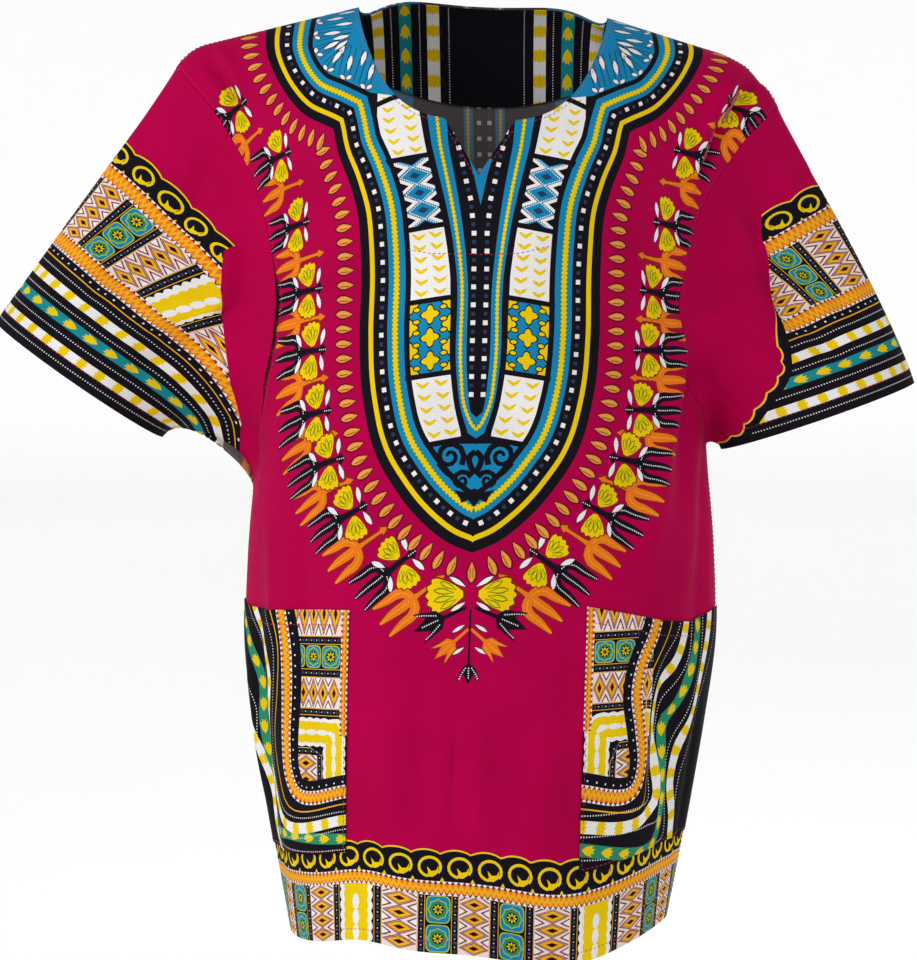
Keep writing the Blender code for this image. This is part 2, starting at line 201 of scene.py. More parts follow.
def oval_point(across, height, panel):
    """x and depth of the cloth at a distance along the oval: an arc of one radius, then of the other."""
    half_width, depth = ring_size(height, panel)
    centre_radius, side_radius = oval_arcs(half_width, depth)
    reach = np.abs(across)
    on_centre = np.minimum(reach, centre_radius * OVAL_TURN) / centre_radius
    on_side = OVAL_TURN + np.maximum(reach - centre_radius * OVAL_TURN, 0.0) / side_radius
    on_side = np.minimum(on_side, math.pi / 2 + 0.3)
    x = centre_radius * np.sin(on_centre) + side_radius * (np.sin(on_side) - math.sin(OVAL_TURN))
    turned_away = centre_radius * (1.0 - np.cos(on_centre))
    turned_away = turned_away + side_radius * (math.cos(OVAL_TURN) - np.cos(on_side))
    return np.sign(across) * x, depth - turned_away


def shoulder_line(across):
    """x and z of the shoulder line, found by adding up short steps along its growing tilt."""
    steps = np.linspace(0.0, 0.30, 301)
    size = steps[1] - steps[0]
    reach = np.abs(across)
    sides = []
    for shoulder in (RIGHT_SHOULDER, LEFT_SHOULDER):
        bend = np.clip((steps - shoulder.start) / (SHOULDER_TIP - shoulder.start), 0.0, 1.0)
        tilt = SHOULDER_TILT * smooth_step(steps / SHOULDER_SLOPES_FROM)
        tilt = tilt + (shoulder.tip_tilt - SHOULDER_TILT) * bend
        x = np.concatenate([[0.0], np.cumsum(np.cos(tilt[1:]) * size)])
        z = np.concatenate([[0.0], np.cumsum(-np.sin(tilt[1:]) * size)])
        z = z - np.interp(NECK_HALF_WIDTH, steps, z)
        sides.append((np.sign(across) * np.interp(reach, steps, x), np.interp(reach, steps, z)))
    (right_x, right_z), (left_x, left_z) = sides
    return np.where(across < 0.0, right_x, left_x), np.where(across < 0.0, right_z, left_z)


def fold_height(across, height, panel):
    """Sum of the soft folds: each a bell across, times a parabola along that ends at its two heights."""
    total = np.zeros(np.shape(across))
    for fold in FOLDS:
        if fold.panel != panel:
            continue
        middle = (fold.bottom + fold.top) / 2
        half = (fold.top - fold.bottom) / 2
        along = np.clip(1.0 - ((height - middle) / half) ** 2, 0.0, 1.0)
        total = total + fold.height * along * np.exp(-(((across - fold.across) / fold.width) ** 2))
    return total


def drooped(across, climb):
    """Climb lost by the cloth under the raised right arm: a bell round the armpit, growing to the side."""
    near_side = smooth_step((-across - DROOP_FROM) / (SHOULDER_TIP - DROOP_FROM))
    return UNDERARM_DROOP * near_side * np.exp(-(((climb - ARMPIT_CLIMB) / DROOP_SPREAD) ** 2))


def settled(points):
    """The points with each height's own small turn about +Z, slant along X and sway, and the hem's sag."""
    x, y, z = np.moveaxis(points, -1, 0)
    down = z / HEM_HEIGHT
    turn = SHOULDER_TURN + (HEM_TURN - SHOULDER_TURN) * down
    slant = SHOULDER_SLANT + (HEM_SLANT - SHOULDER_SLANT) * down
    turned_x = x * np.cos(turn) - y * np.sin(turn) + HEM_SWAY * down
    turned_y = x * np.sin(turn) + y * np.cos(turn)
    sag = sum(sag.drop * np.exp(-(((x - sag.x) / sag.width) ** 2)) for sag in HEM_SAGS)
    sag = sag * smooth_step((-z - SAG_FROM) / (SAG_BY - SAG_FROM))
    return np.stack([turned_x, turned_y, z + x * slant - sag], axis=-1)


def panel_point(across, climb, panel):
    """On its height's oval up to the chest line, then over a superellipse arch to the shoulder line."""
    facing = -1.0 if panel == "front" else 1.0
    roundness = ARCH_ROUNDNESS[panel]
    flat_reach = side_reach(height_at(climb), panel)
    climb = climb - drooped(across, climb)
    height = height_at(climb)
    angle = np.maximum(climb - 1.0, 0.0) * math.pi / 2
    arch = (np.abs(np.cos(angle)) ** roundness + np.abs(np.sin(angle)) ** roundness) ** (-1.0 / roundness)
    forward = np.cos(angle) * arch
    upward = np.sin(angle) * arch
    drawn_in = ARMHOLE_DRAW * (across / SHOULDER_TIP) ** 3 * smooth_step(upward / ARMHOLE_DRAWN_BY)
    on_oval = (across - drawn_in) * side_reach(height, panel) / flat_reach
    x, depth = oval_point(on_oval, height, panel)
    top_x, top_z = shoulder_line(across)
    if panel == "back":
        top_z = top_z + BACK_NECK_RISE * np.clip(1.0 - (across / NECK_HALF_WIDTH) ** 6, 0.0, 1.0) ** 2
    swell = fold_height(across, height, panel)
    half_width, deepest = ring_size(height, panel)
    outward_x = x / half_width**2
    outward_y = depth / deepest**2
    length = np.sqrt(outward_x**2 + outward_y**2)
    x = x + swell * outward_x / length
    depth = depth + swell * outward_y / length
    x = x + (top_x - x) * upward**2
    y = facing * (depth * forward + SEAM_GAP / 2)
    z = height + (top_z - CHEST_HEIGHT) * upward
    return settled(np.stack([x, y, z], axis=-1))


def edge_reach(climb, panel):
    """Distance from the centre line to the panel's edge: its side seam, then its armhole."""
    side = side_reach(height_at(climb), panel)
    armhole = smooth_curve(climb, [row.climb for row in ARMHOLE], [row.across for row in ARMHOLE])
    blend = np.clip((climb - ARMPIT_CLIMB) / (ARMHOLE[1].climb - ARMPIT_CLIMB), 0.0, 1.0)
    armpit_reach = side_reach(height_at(ARMPIT_CLIMB), panel)
    armhole = armhole + (armpit_reach - ARMHOLE[0].across) * (1.0 - blend)
    return np.where(climb <= ARMPIT_CLIMB, side, armhole)


def neck_climb(across, panel):
    """Top of the panel over the neck opening: a superellipse, and on the front the V of the slit."""
    reach = np.abs(across)
    roundness = NECK_ROUNDNESS[panel]
    dip = (1.0 - np.minimum(reach / NECK_HALF_WIDTH, 1.0) ** roundness) ** (1.0 / roundness)
    top = 2.0 - (2.0 - NECK_CLIMB[panel]) * dip
    if panel == "front":
        slope = (SLIT_CORNER_CLIMB - SLIT_TIP_CLIMB) / SLIT_HALF_WIDTH
        top = np.where(reach <= SLIT_HALF_WIDTH, SLIT_TIP_CLIMB + slope * reach, top)
    return top

# ---------------------------------------------------------------- creases that only the cloth has

# A soft ridge (height above 0) or trough (below 0) from one flat point to another, both ends fading out
Crease = namedtuple("Crease", "start end width height")
CREASES = {
    "front": (
        ((-0.262, 0.60), (-0.222, 0.36), 0.010, -0.0065), ((-0.235, 0.62), (-0.198, 0.42), 0.011, 0.0045),
        ((-0.240, 0.735), (-0.224, 0.66), 0.0055, -0.0060), ((-0.228, 0.740), (-0.212, 0.67), 0.0060, 0.0035),
        ((0.238, 0.735), (0.214, 0.58), 0.0070, -0.0085), ((0.224, 0.730), (0.198, 0.56), 0.0075, 0.0050),
        ((0.245, 0.60), (0.170, 0.30), 0.016, -0.0095), ((0.212, 0.52), (0.138, 0.26), 0.016, 0.0060),
        ((0.245, 0.42), (0.205, 0.20), 0.014, -0.0060), ((-0.150, 0.39), (-0.128, 0.12), 0.012, -0.0034),
        ((-0.185, 0.36), (-0.175, 0.20), 0.010, 0.0030), ((-0.008, 0.19), (-0.004, 0.08), 0.0035, -0.0030),
        ((0.012, 0.20), (0.016, 0.07), 0.0060, 0.0022), ((0.070, 0.28), (0.060, 0.06), 0.013, 0.0034),
        ((-0.060, 0.27), (-0.052, 0.03), 0.014, 0.0030), ((-0.030, 0.24), (-0.034, 0.05), 0.009, -0.0022),
        ((0.140, 0.56), (0.180, 0.46), 0.012, -0.0035), ((0.105, 0.36), (0.165, 0.23), 0.010, -0.0028),
        ((-0.205, 0.27), (-0.215, 0.06), 0.009, -0.0050), ((-0.228, 0.25), (-0.232, 0.09), 0.008, 0.0030),
        ((0.176, 0.24), (0.160, 0.07), 0.009, -0.0055), ((0.208, 0.25), (0.200, 0.07), 0.010, 0.0035),
        ((0.232, 0.20), (0.222, 0.03), 0.008, -0.0035),
    ),
    "back": (
        ((-0.262, 0.60), (-0.200, 0.34), 0.014, -0.0045), ((-0.225, 0.62), (-0.165, 0.38), 0.014, 0.0030),
        ((-0.240, 0.735), (-0.222, 0.64), 0.0060, -0.0040), ((0.240, 0.735), (0.220, 0.62), 0.0065, -0.0045),
        ((0.258, 0.58), (0.190, 0.32), 0.015, -0.0050), ((0.222, 0.56), (0.160, 0.30), 0.015, 0.0035),
        ((-0.120, 0.66), (0.110, 0.655), 0.020, -0.0020), ((-0.010, 0.60), (-0.020, 0.40), 0.016, -0.0020),
        ((0.035, 0.32), (0.030, 0.04), 0.016, -0.0030), ((-0.110, 0.34), (-0.120, 0.03), 0.014, 0.0028),
        ((-0.225, 0.26), (-0.230, 0.04), 0.010, 0.0030), ((0.130, 0.30), (0.140, 0.05), 0.012, 0.0026),
    ),
    "sleeve_right": (
        ((0.090, 0.205), (0.170, 0.085), 0.0055, -0.0065), ((0.110, 0.215), (0.190, 0.100), 0.0110, 0.0050),
        ((0.040, 0.240), (0.075, 0.150), 0.0070, -0.0035), ((-0.060, 0.175), (-0.095, 0.015), 0.010, -0.0045),
        ((-0.085, 0.150), (-0.125, 0.020), 0.010, 0.0032), ((-0.120, 0.150), (-0.150, 0.030), 0.009, -0.0045),
        ((-0.030, 0.235), (-0.060, 0.150), 0.008, -0.0030), ((0.060, 0.200), (0.090, 0.020), 0.012, -0.0042),
        ((0.110, 0.160), (0.130, 0.020), 0.011, 0.0030), ((0.150, 0.130), (0.160, 0.010), 0.010, -0.0038),
    ),
    "sleeve_left": (
        ((0.036, 0.225), (0.112, 0.062), 0.0060, -0.0075), ((0.060, 0.215), (0.140, 0.060), 0.0130, 0.0060),
        ((0.020, 0.235), (0.030, 0.150), 0.0070, 0.0030), ((0.060, 0.190), (0.050, 0.060), 0.010, -0.0035),
        ((0.095, 0.120), (0.085, 0.010), 0.011, -0.0032), ((-0.050, 0.200), (-0.075, 0.020), 0.012, -0.0040),
        ((-0.095, 0.150), (-0.110, 0.015), 0.011, 0.0030), ((-0.140, 0.110), (-0.150, 0.010), 0.010, -0.0036),
    ),
}


# Share of its length over which each end of a crease fades out
CREASE_END = 0.35


def crease_height(flat, creases):
    """Sum of the creases: each a bell across its line, times a smooth rise and fall along it."""
    total = np.zeros(flat.shape[:-1])
    for row in creases:
        crease = Crease(*row)
        start = np.array(crease.start)
        line = np.array(crease.end) - start
        length = np.linalg.norm(line)
        line = line / length
        away = flat - start
        along = (away @ line) / length
        beside = away[..., 0] * line[1] - away[..., 1] * line[0]
        fade = smooth_step(along / CREASE_END) * smooth_step((1.0 - along) / CREASE_END)
        total = total + crease.height * fade * np.exp(-((beside / crease.width) ** 2))
    return total


# ---------------------------------------------------------------- cloths

TABLE_STEP = 0.0025
WELD = 1e-6
SLIVER = 1e-11
LONGEST_EDGE = 0.007
BROAD_AREA = 1.2e-3
SQUARE_AREA = 1.5e-5
EDGE_IN = 0.0004
PANEL_REACH = 0.300
PANEL_TOP_CLIMB = 2.06
PANEL_LENGTH = 0.900
# A sleeve's curve leaves each end for no more than these shares of the way across, so it makes no loop
MOST_LEAD = 1.15
MOST_TRAIL = 1.10


def bilinear(table, low, step, at):
    """The table's value at points: the mean of the four nearest entries, weighted by how near they are."""
    place = (at - low) / step
    place = np.clip(place, 0.0, np.array(table.shape[:2]) - 1.001)
    first = place.astype(int)
    part = place - first
    i, j = first[:, 0], first[:, 1]
    p = part[:, 0].reshape(-1, *[1] * (table.ndim - 2))
    q = part[:, 1].reshape(-1, *[1] * (table.ndim - 2))
    near = table[i, j] * (1.0 - q) + table[i, j + 1] * q
    far = table[i + 1, j] * (1.0 - q) + table[i + 1, j + 1] * q
    return near * (1.0 - p) + far * p


def grid_normals(points, outside):
    """Unit normals of a grid of points: the cross product of its two slopes, turned to the outside."""
    across = np.gradient(points, axis=0)
    up = np.gradient(points, axis=1)
    normals = np.cross(across, up) * outside
    return normals / np.maximum(np.linalg.norm(normals, axis=-1, keepdims=True), 1e-12)


class Cloth:
    """A cloth's shape as a table of points and normals at even steps of its flat coordinates."""

    def __init__(self, low, points, outside, creases=()):
        self.low = np.array(low)
        self.outside = outside
        u = low[0] + TABLE_STEP * np.arange(points.shape[0])
        v = low[1] + TABLE_STEP * np.arange(points.shape[1])
        self.flat = np.stack(np.meshgrid(u, v, indexing="ij"), axis=-1)
        normals = grid_normals(points, outside)
        self.points = points + normals * crease_height(self.flat, creases)[..., None]
        self.normals = grid_normals(self.points, outside)

    def place(self, flat, lift=0.0):
        """Points above the cloth's middle by lift, and the normals there."""
        points = bilinear(self.points, self.low, TABLE_STEP, flat)
        normals = bilinear(self.normals, self.low, TABLE_STEP, flat)
        normals = normals / np.maximum(np.linalg.norm(normals, axis=1, keepdims=True), 1e-12)
        return points + normals * lift, normals


class Panel(Cloth):
    """The front or the back. v is the height above the hem up to the chest line, then the cloth's length."""

    def __init__(self, panel):
        self.panel = panel
        across = np.arange(-PANEL_REACH, PANEL_REACH + TABLE_STEP / 2, TABLE_STEP)
        climb = np.linspace(0.0, PANEL_TOP_CLIMB, 561)
        grid = panel_point(*np.meshgrid(across, climb, indexing="ij"), panel)
        steps = np.linalg.norm(np.diff(grid, axis=1), axis=2)
        steps[:, climb[1:] <= 1.0] = climb[1] * BODY_LENGTH
        length = np.concatenate([np.zeros((len(across), 1)), np.cumsum(steps, axis=1)], axis=1)
        self.climb_step = climb[1]
        self.lengths = length
        v = np.arange(0.0, PANEL_LENGTH, TABLE_STEP)
        climbs = np.array([np.interp(v, column, climb) for column in length])
        points = panel_point(np.repeat(across[:, None], len(v), axis=1), climbs, panel)
        outside = 1.0 if panel == "front" else -1.0
        super().__init__((-PANEL_REACH, 0.0), points, outside, CREASES[panel])

    def flat_of(self, across, climb):
        """Flat coordinates of points given as distance from the centre line and climb."""
        at = np.stack(np.broadcast_arrays(across, climb), axis=-1).reshape(-1, 2)
        v = bilinear(self.lengths, np.array([-PANEL_REACH, 0.0]), np.array([TABLE_STEP, self.climb_step]), at)
        return np.stack([at[:, 0], v], axis=1)

    def neckline(self):
        """Flat points of the neckline from the right end to the left one, the slit's V on it."""
        corner = SLIT_HALF_WIDTH
        bend = NECK_HALF_WIDTH * np.sin(np.linspace(math.asin(corner / NECK_HALF_WIDTH), math.pi / 2, 60))
        half = np.concatenate([np.linspace(0.0, corner, 13)[:-1], [corner - 1e-6], bend[1:]])
        if self.panel == "back":
            half = NECK_HALF_WIDTH * np.sin(np.linspace(0.0, math.pi / 2, 70))
        across = np.concatenate([-half[:0:-1], half])
        return self.flat_of(across, neck_climb(across, self.panel))

    def side_edge(self, side, low, high, count):
        """Flat points of one edge between two climbs: side seam, then armhole."""
        climb = np.linspace(low, high, count)
        return self.flat_of(side * edge_reach(climb, self.panel), climb)

    def shoulder(self, side):
        """Flat points of one shoulder seam, from the tip to the neckline."""
        across = np.linspace(edge_reach(2.0, self.panel), NECK_HALF_WIDTH, 40)
        return self.flat_of(side * across, 2.0)

    def outline(self):
        """The whole panel's flat outline: hem, left edge, shoulder, neckline, shoulder, right edge."""
        sides = []
        for side in (1.0, -1.0):
            seam = self.side_edge(side, 0.0, ARMPIT_CLIMB, 90)
            armhole = self.side_edge(side, ARMPIT_CLIMB, 2.0, 110)
            sides.append(np.concatenate([seam[:-1], armhole[:-1], self.shoulder(side)[:-1]]))
        left, right = sides
        hem = np.linspace(right[0][0], left[0][0], 160)[1:-1]
        hem = np.stack([hem, np.zeros(len(hem))], axis=1)
        return np.concatenate([hem, left, self.neckline()[::-1], right[::-1]])


class Lining(Cloth):
    """The inside of a panel as a cloth of its own: the same table, its normals turned round."""

    def __init__(self, panel):
        self.low, self.flat, self.points = panel.low, panel.flat, panel.points
        self.outside = -panel.outside
        self.normals = -panel.normals


# How far each pocket's top edge stands above (or, below 0, hangs under) its seam's line, by distance across
POCKET_TOPS = {
    "pocket_left": np.array([
        (93.5, 0.8), (121.7, -4.7), (151.5, -10.7), (167.4, -13.4), (205.1, -16.5), (242.9, -8.2), (290, -6),
    ]) * 0.001,
    "pocket_right": np.array([(93.5, 1.0), (179, 1.9), (226, 7.1), (253, 13.0), (290, 15.0)]) * 0.001,
}


def pocket_outline(name, side):
    """Flat outline on the front: the inner edge, the bottom, the side seam and the top."""
    low, high = climb_at(POCKET_BOTTOM_HEIGHT), climb_at(POCKET_TOP_HEIGHT)
    outer = edge_reach(high, "front") - EDGE_IN
    tops = POCKET_TOPS[name]
    across = np.linspace(outer, POCKET_INNER_EDGE, 60)
    top = np.stack([across, high * BODY_LENGTH + np.interp(across, *tops.T)], axis=1)
    climb = np.linspace(low, top[0][1] / BODY_LENGTH, 40)
    seam = np.stack([edge_reach(climb, "front") - EDGE_IN, climb * BODY_LENGTH], axis=1)
    bottom = np.stack([np.linspace(POCKET_INNER_EDGE, seam[0][0], 40)[:-1], np.full(39, seam[0][1])], axis=1)
    inner = np.stack([np.full(36, POCKET_INNER_EDGE), np.linspace(top[-1][1], seam[0][1], 38)[1:-1]], axis=1)
    return np.concatenate([bottom, seam, top[1:], inner]) * [side, 1.0]


def facing_outline(back):
    """Flat outline on the back: the lower edge a share of the way down, short sides, shoulders and neckline."""
    low = 2.0 - FACING_SHARE
    climb = np.linspace(low, 2.0, 24)
    reach = NECK_HALF_WIDTH + (edge_reach(climb, "back") - NECK_HALF_WIDTH) * FACING_SIDE
    across = np.linspace(-reach[0], reach[0], 120)[1:-1]
    bottom = back.flat_of(across, 1.0 + (neck_climb(across, "back") - 1.0) * (1.0 - FACING_SHARE))
    shoulder = np.linspace(reach[-1], NECK_HALF_WIDTH, 6)[1:-1]
    parts = []
    for side in (1.0, -1.0):
        ends = back.flat_of(side * reach, climb)
        parts.append(np.concatenate([ends, back.flat_of(side * shoulder, 2.0)]))
    left, right = parts
    return np.concatenate([bottom, left, back.neckline()[::-1], right[::-1]]) - [0.0, EDGE_IN]


def loop_angles(loop, half):
    """Angle of each point of a loop by its length: 0 to pi down the front, pi to 2 pi up the back."""
    steps = np.linalg.norm(np.diff(loop, axis=0), axis=1)
    length = np.concatenate([[0.0], np.cumsum(steps)])
    front = math.pi * length[: half + 1] / length[half]
    back = math.pi * (1.0 + (length[half:] - length[half]) / (length[-1] - length[half]))
    return np.concatenate([front, back[1:]])


class Sleeve(Cloth):
    """A sleeve, flat: u goes round the arm from its top line, forwards in front; v is up from the cuff."""

    def __init__(self, name, panels):
        cuff = CUFFS[name]
        self.side = math.copysign(1.0, cuff.x)
        loop, leaving, half = self.armhole(panels)
        angles = loop_angles(loop, half)
        turn = np.linspace(-math.pi, math.pi, 241)
        whole = np.mod(turn, 2.0 * math.pi)
        whole[-1] = math.pi
        columns = [np.interp(whole, angles, values) for values in np.concatenate([loop, leaving], axis=1).T]
        start = np.stack(columns[:3], axis=1)[:, None]
        leave = np.stack(columns[3:], axis=1)[:, None]
        cos_turn, sin_turn = math.cos(cuff.turn), math.sin(cuff.turn)
        level = math.cos(cuff.tilt)
        outward = np.array([self.side * level * cos_turn, level * sin_turn, math.sin(cuff.tilt)])
        frontward = np.array([self.side * sin_turn, -cos_turn, 0.0])
        arm = np.cross(outward, frontward) * self.side
        angle = turn[:, None, None]
        ring = np.array([cuff.x, cuff.y, cuff.z]) + outward * cuff.half_width * np.cos(angle)
        ring = ring + frontward * cuff.half_depth * np.sin(angle)
        part = np.linspace(-0.06, 1.0, 213)[None, :, None]
        rise = part * part * (3.0 - 2.0 * part)
        span = np.linalg.norm(ring - start, axis=2, keepdims=True)
        lead = part * (1.0 - part) ** 2 * np.minimum(SLEEVE_LEAVES_BODY, span * MOST_LEAD)
        trail = part * part * (part - 1.0) * np.minimum(SLEEVE_MEETS_CUFF, span * MOST_TRAIL)
        grid = (start + leave * SEAM_GAP) * (1.0 - rise) + ring * rise + leave * lead + arm * trail
        rims = np.linalg.norm(np.diff(grid[:, -1], axis=0), axis=1)
        self.round = rims.sum()
        round_at = np.concatenate([[0.0], np.cumsum(rims)]) - self.round / 2
        steps = np.linalg.norm(np.diff(grid[:, ::-1], axis=1), axis=2)
        up = np.concatenate([np.zeros((len(turn), 1)), np.cumsum(steps, axis=1)], axis=1)
        self.tops = np.stack([round_at, [np.interp(1.0, np.linspace(0.0, 1.06, 213), row) for row in up]], axis=1)
        u = np.arange(-self.round / 2, self.round / 2 + TABLE_STEP, TABLE_STEP)
        v = np.arange(0.0, up.max(), TABLE_STEP)
        along = np.array(
            [[np.interp(v, lengths, values) for values in points[::-1].T] for lengths, points in zip(up, grid)]
        )
        table = np.empty((len(u), len(v), 3))
        for axis in range(3):
            for k in range(len(v)):
                table[:, k, axis] = np.interp(u, round_at, along[:, axis, k])
        super().__init__((-self.round / 2, 0.0), table, -self.side, CREASES[name])

    def armhole(self, panels):
        """The armhole as a loop from the shoulder tip down the front and up the back, and how cloth leaves it."""
        edges = []
        for panel in panels:
            climb = np.linspace(ARMPIT_CLIMB, 2.0, 90)
            across = edge_reach(climb, panel.panel) * self.side
            flat = panel.flat_of(across, climb)
            nearby = np.array([1e-3 * self.side, 0.0])
            points = panel.place(flat)[0]
            sideways = panel.place(flat + nearby)[0] - panel.place(flat - nearby)[0]
            edge = np.gradient(points, axis=0)
            edge = edge / np.linalg.norm(edge, axis=-1, keepdims=True)
            leaving = sideways - edge * np.sum(sideways * edge, axis=-1, keepdims=True)
            edges.append((points, leaving / np.linalg.norm(leaving, axis=-1, keepdims=True)))
        (front, front_leaving), (back, back_leaving) = edges
        ends = (front[[0, -1]] + back[[0, -1]]) / 2
        end_leaving = front_leaving[[0, -1]] + back_leaving[[0, -1]]
        end_leaving = end_leaving / np.linalg.norm(end_leaving, axis=-1, keepdims=True)
        loop = np.concatenate([ends[1:], front[-2:0:-1], ends[:1], back[1:-1], ends[1:]])
        leaving = np.concatenate(
            [end_leaving[1:], front_leaving[-2:0:-1], end_leaving[:1], back_leaving[1:-1], end_leaving[1:]]
        )
        return loop, leaving, len(front) - 1

    def outline(self):
        """Flat outline: the cuff, the underarm seam's front side, the armhole, and the seam's back side."""
        tops = self.tops[2:-2:2]
        reach = self.round / 2 - SEAM_GAP / 2
        tops = np.concatenate([[[-reach, self.tops[0][1]]], tops, [[reach, self.tops[-1][1]]]])
        cuff = np.linspace(-reach, reach, 150)
        cuff = np.stack([cuff, np.zeros(len(cuff))], axis=1)
        seam = np.linspace(0.0, tops[-1][1], 40)[1:-1]
        front = np.stack([np.full(len(seam), reach), seam], axis=1)
        return np.concatenate([cuff, front, tops[::-1], (front * [-1.0, 1.0])[::-1]])


# ---------------------------------------------------------------- flat shapes into cloth


def turning(ring):
    """Twice the ring's area, above 0 where it runs anticlockwise."""
    ahead = np.roll(ring, -1, axis=0)
    return float(np.sum(ring[:, 0] * ahead[:, 1] - ahead[:, 0] * ring[:, 1]))


def refined(ring):
    """The ring with points added along its long edges, evenly in each, so that it can bend with the cloth."""
    along = np.roll(ring, -1, axis=0) - ring
    counts = np.maximum(np.ceil(np.linalg.norm(along, axis=1) / LONGEST_EDGE), 1).astype(int)
    number = np.arange(counts.sum()) - np.repeat(np.cumsum(counts) - counts, counts)
    return np.repeat(ring, counts, axis=0) + np.repeat(along / counts[:, None], counts, axis=0) * number[:, None]


def winding(ring, points):
    """How many times a ring goes round each point: its edges that pass the point on one side, by direction."""
    after = np.roll(ring, -1, axis=0)
    rise = after[:, 1] - ring[:, 1]
    slope = (after[:, 0] - ring[:, 0]) / np.where(rise == 0.0, 1.0, rise)
    level = points[:, 1:]
    crossed = (ring[:, 1] > level) != (after[:, 1] > level)
    beyond = ring[:, 0] + (level - ring[:, 1]) * slope > points[:, :1]
    return np.sum(crossed * beyond * np.sign(rise), axis=1)


def inks_at(points, drawing):
    """The ink of the last ring round each point, and that of the bare cloth outside them all."""
    order = np.argsort(points[:, 0])
    across = points[order, 0]
    inks = np.zeros(len(points), int)
    for ring, ink in zip(drawing.rings, drawing.inks):
        low, high = ring.min(axis=0), ring.max(axis=0)
        near = order[slice(*np.searchsorted(across, (low[0], high[0])))]
        near = near[(points[near, 1] > low[1]) & (points[near, 1] < high[1])]
        inks[near[winding(ring, points[near]) != 0]] = ink
    return inks


def filling_points(outline, spacing):
    """An even grid of points over the outline's box."""
    low, high = outline.min(axis=0), outline.max(axis=0)
    u = np.arange(low[0] + spacing * 0.37, high[0], spacing)
    v = np.arange(low[1] + spacing * 0.41, high[1], spacing)
    return np.stack(np.meshgrid(u, v), axis=-1).reshape(-1, 2)


def anticlockwise(ring):
    """The ring with points added along it, turned to run anticlockwise."""
    return refined(ring if turning(ring) > 0 else ring[::-1])


def twice_area(points, triangles):
    """Twice each flat triangle's area, above 0 where it runs anticlockwise."""
    corners = points[triangles]
    one, two = corners[:, 1] - corners[:, 0], corners[:, 2] - corners[:, 0]
    return one[:, 0] * two[:, 1] - one[:, 1] * two[:, 0]


def triangulated(points, edges, rings, start):
    """The Delaunay triangles of flat points in which the edges, and those of the rings whose points begin at
    the start, are kept. Gives the points, the triangles anticlockwise, their middles, which of them are no
    slivers, and the given points and faces that each point and triangle comes from."""
    ends = start + np.cumsum([len(ring) for ring in rings], dtype=int)
    faces = [list(range(end - len(ring), end)) for ring, end in zip(rings, ends)]
    vertices = [Vector(point) for point in points.tolist()]
    flat, _, triangles, given, _, sources = delaunay_2d_cdt(vertices, edges, faces, 1, WELD)
    flat, triangles = np.array([tuple(point) for point in flat]), np.array(triangles)
    area = twice_area(flat, triangles)
    turned = np.where(area[:, None] < 0, triangles[:, ::-1], triangles)
    return flat, turned, flat[triangles].mean(axis=1), np.abs(area) > SLIVER, given, sources


def cut_cloth(outline, drawing, spacing):
    """Flat points and triangles of the cloth inside its outline, and the ink of each triangle: that of the
    last ring drawn over it. Every ring's edge is an edge of the triangles, and points fill the rest evenly."""
    rings = [anticlockwise(ring) for ring in (outline, *drawing.rings)]
    points = np.concatenate([*rings, filling_points(outline, spacing)])
    flat, triangles, middles, kept, _, sources = triangulated(points, [], rings, 0)
    kept = kept & np.array([0 in source for source in sources])
    used, triangles = np.unique(triangles[kept], return_inverse=True)
    return flat[used], triangles.reshape(-1, 3), inks_at(middles[kept], drawing)


def cut_reverse(flat, rim, outline, drawing, spacing):
    """The wrong side's points, triangles and inks: only the print's broad parts and its squares show through.
    Also gives which of its points lies under each end of the printed side's rim edges."""
    broad = Print()
    for ring, ink in zip(drawing.rings, drawing.inks):
        if abs(turning(ring)) > (SQUARE_AREA if len(ring) == 4 else BROAD_AREA):
            broad.paint(anticlockwise(ring), ink)
    used, edges = np.unique(rim, return_inverse=True)
    edges = edges.reshape(-1, 2)
    points = np.concatenate([flat[used], *broad.rings, filling_points(outline, spacing)])
    cut, triangles, middles, kept, given, _ = triangulated(points, edges.tolist(), broad.rings, len(used))
    kept = kept & (winding(outline, middles) != 0)
    under = np.zeros(len(used), int)
    for number, origins in enumerate(given):
        under[[origin for origin in origins if origin < len(used)]] = number
    needed = np.unique(np.concatenate([triangles[kept].ravel(), under]))
    triangles, under = np.searchsorted(needed, triangles[kept]), np.searchsorted(needed, under)
    return cut[needed], triangles, inks_at(middles[kept], broad), under[edges]


def rim_edges(triangles):
    """The directed edges that only one triangle has, and which triangle that is."""
    edges = np.concatenate([triangles[:, [0, 1]], triangles[:, [1, 2]], triangles[:, [2, 0]]])
    keys = np.sort(edges, axis=1)
    _, first, counts = np.unique(keys, axis=0, return_index=True, return_counts=True)
    alone = first[counts == 1]
    return edges[alone], alone % len(triangles)


# ---------------------------------------------------------------- flat drawing

(
    CRIMSON, BLACK, WHITE, YELLOW, ORANGE, SEED, BLUE, GREEN,
    OLIVE, BROWN, NAVY, AMBER, BLUSH, PLUM, TEAL, LIME,
) = range(16)
MM = 0.001
PRINT_CENTRE = 0.0033


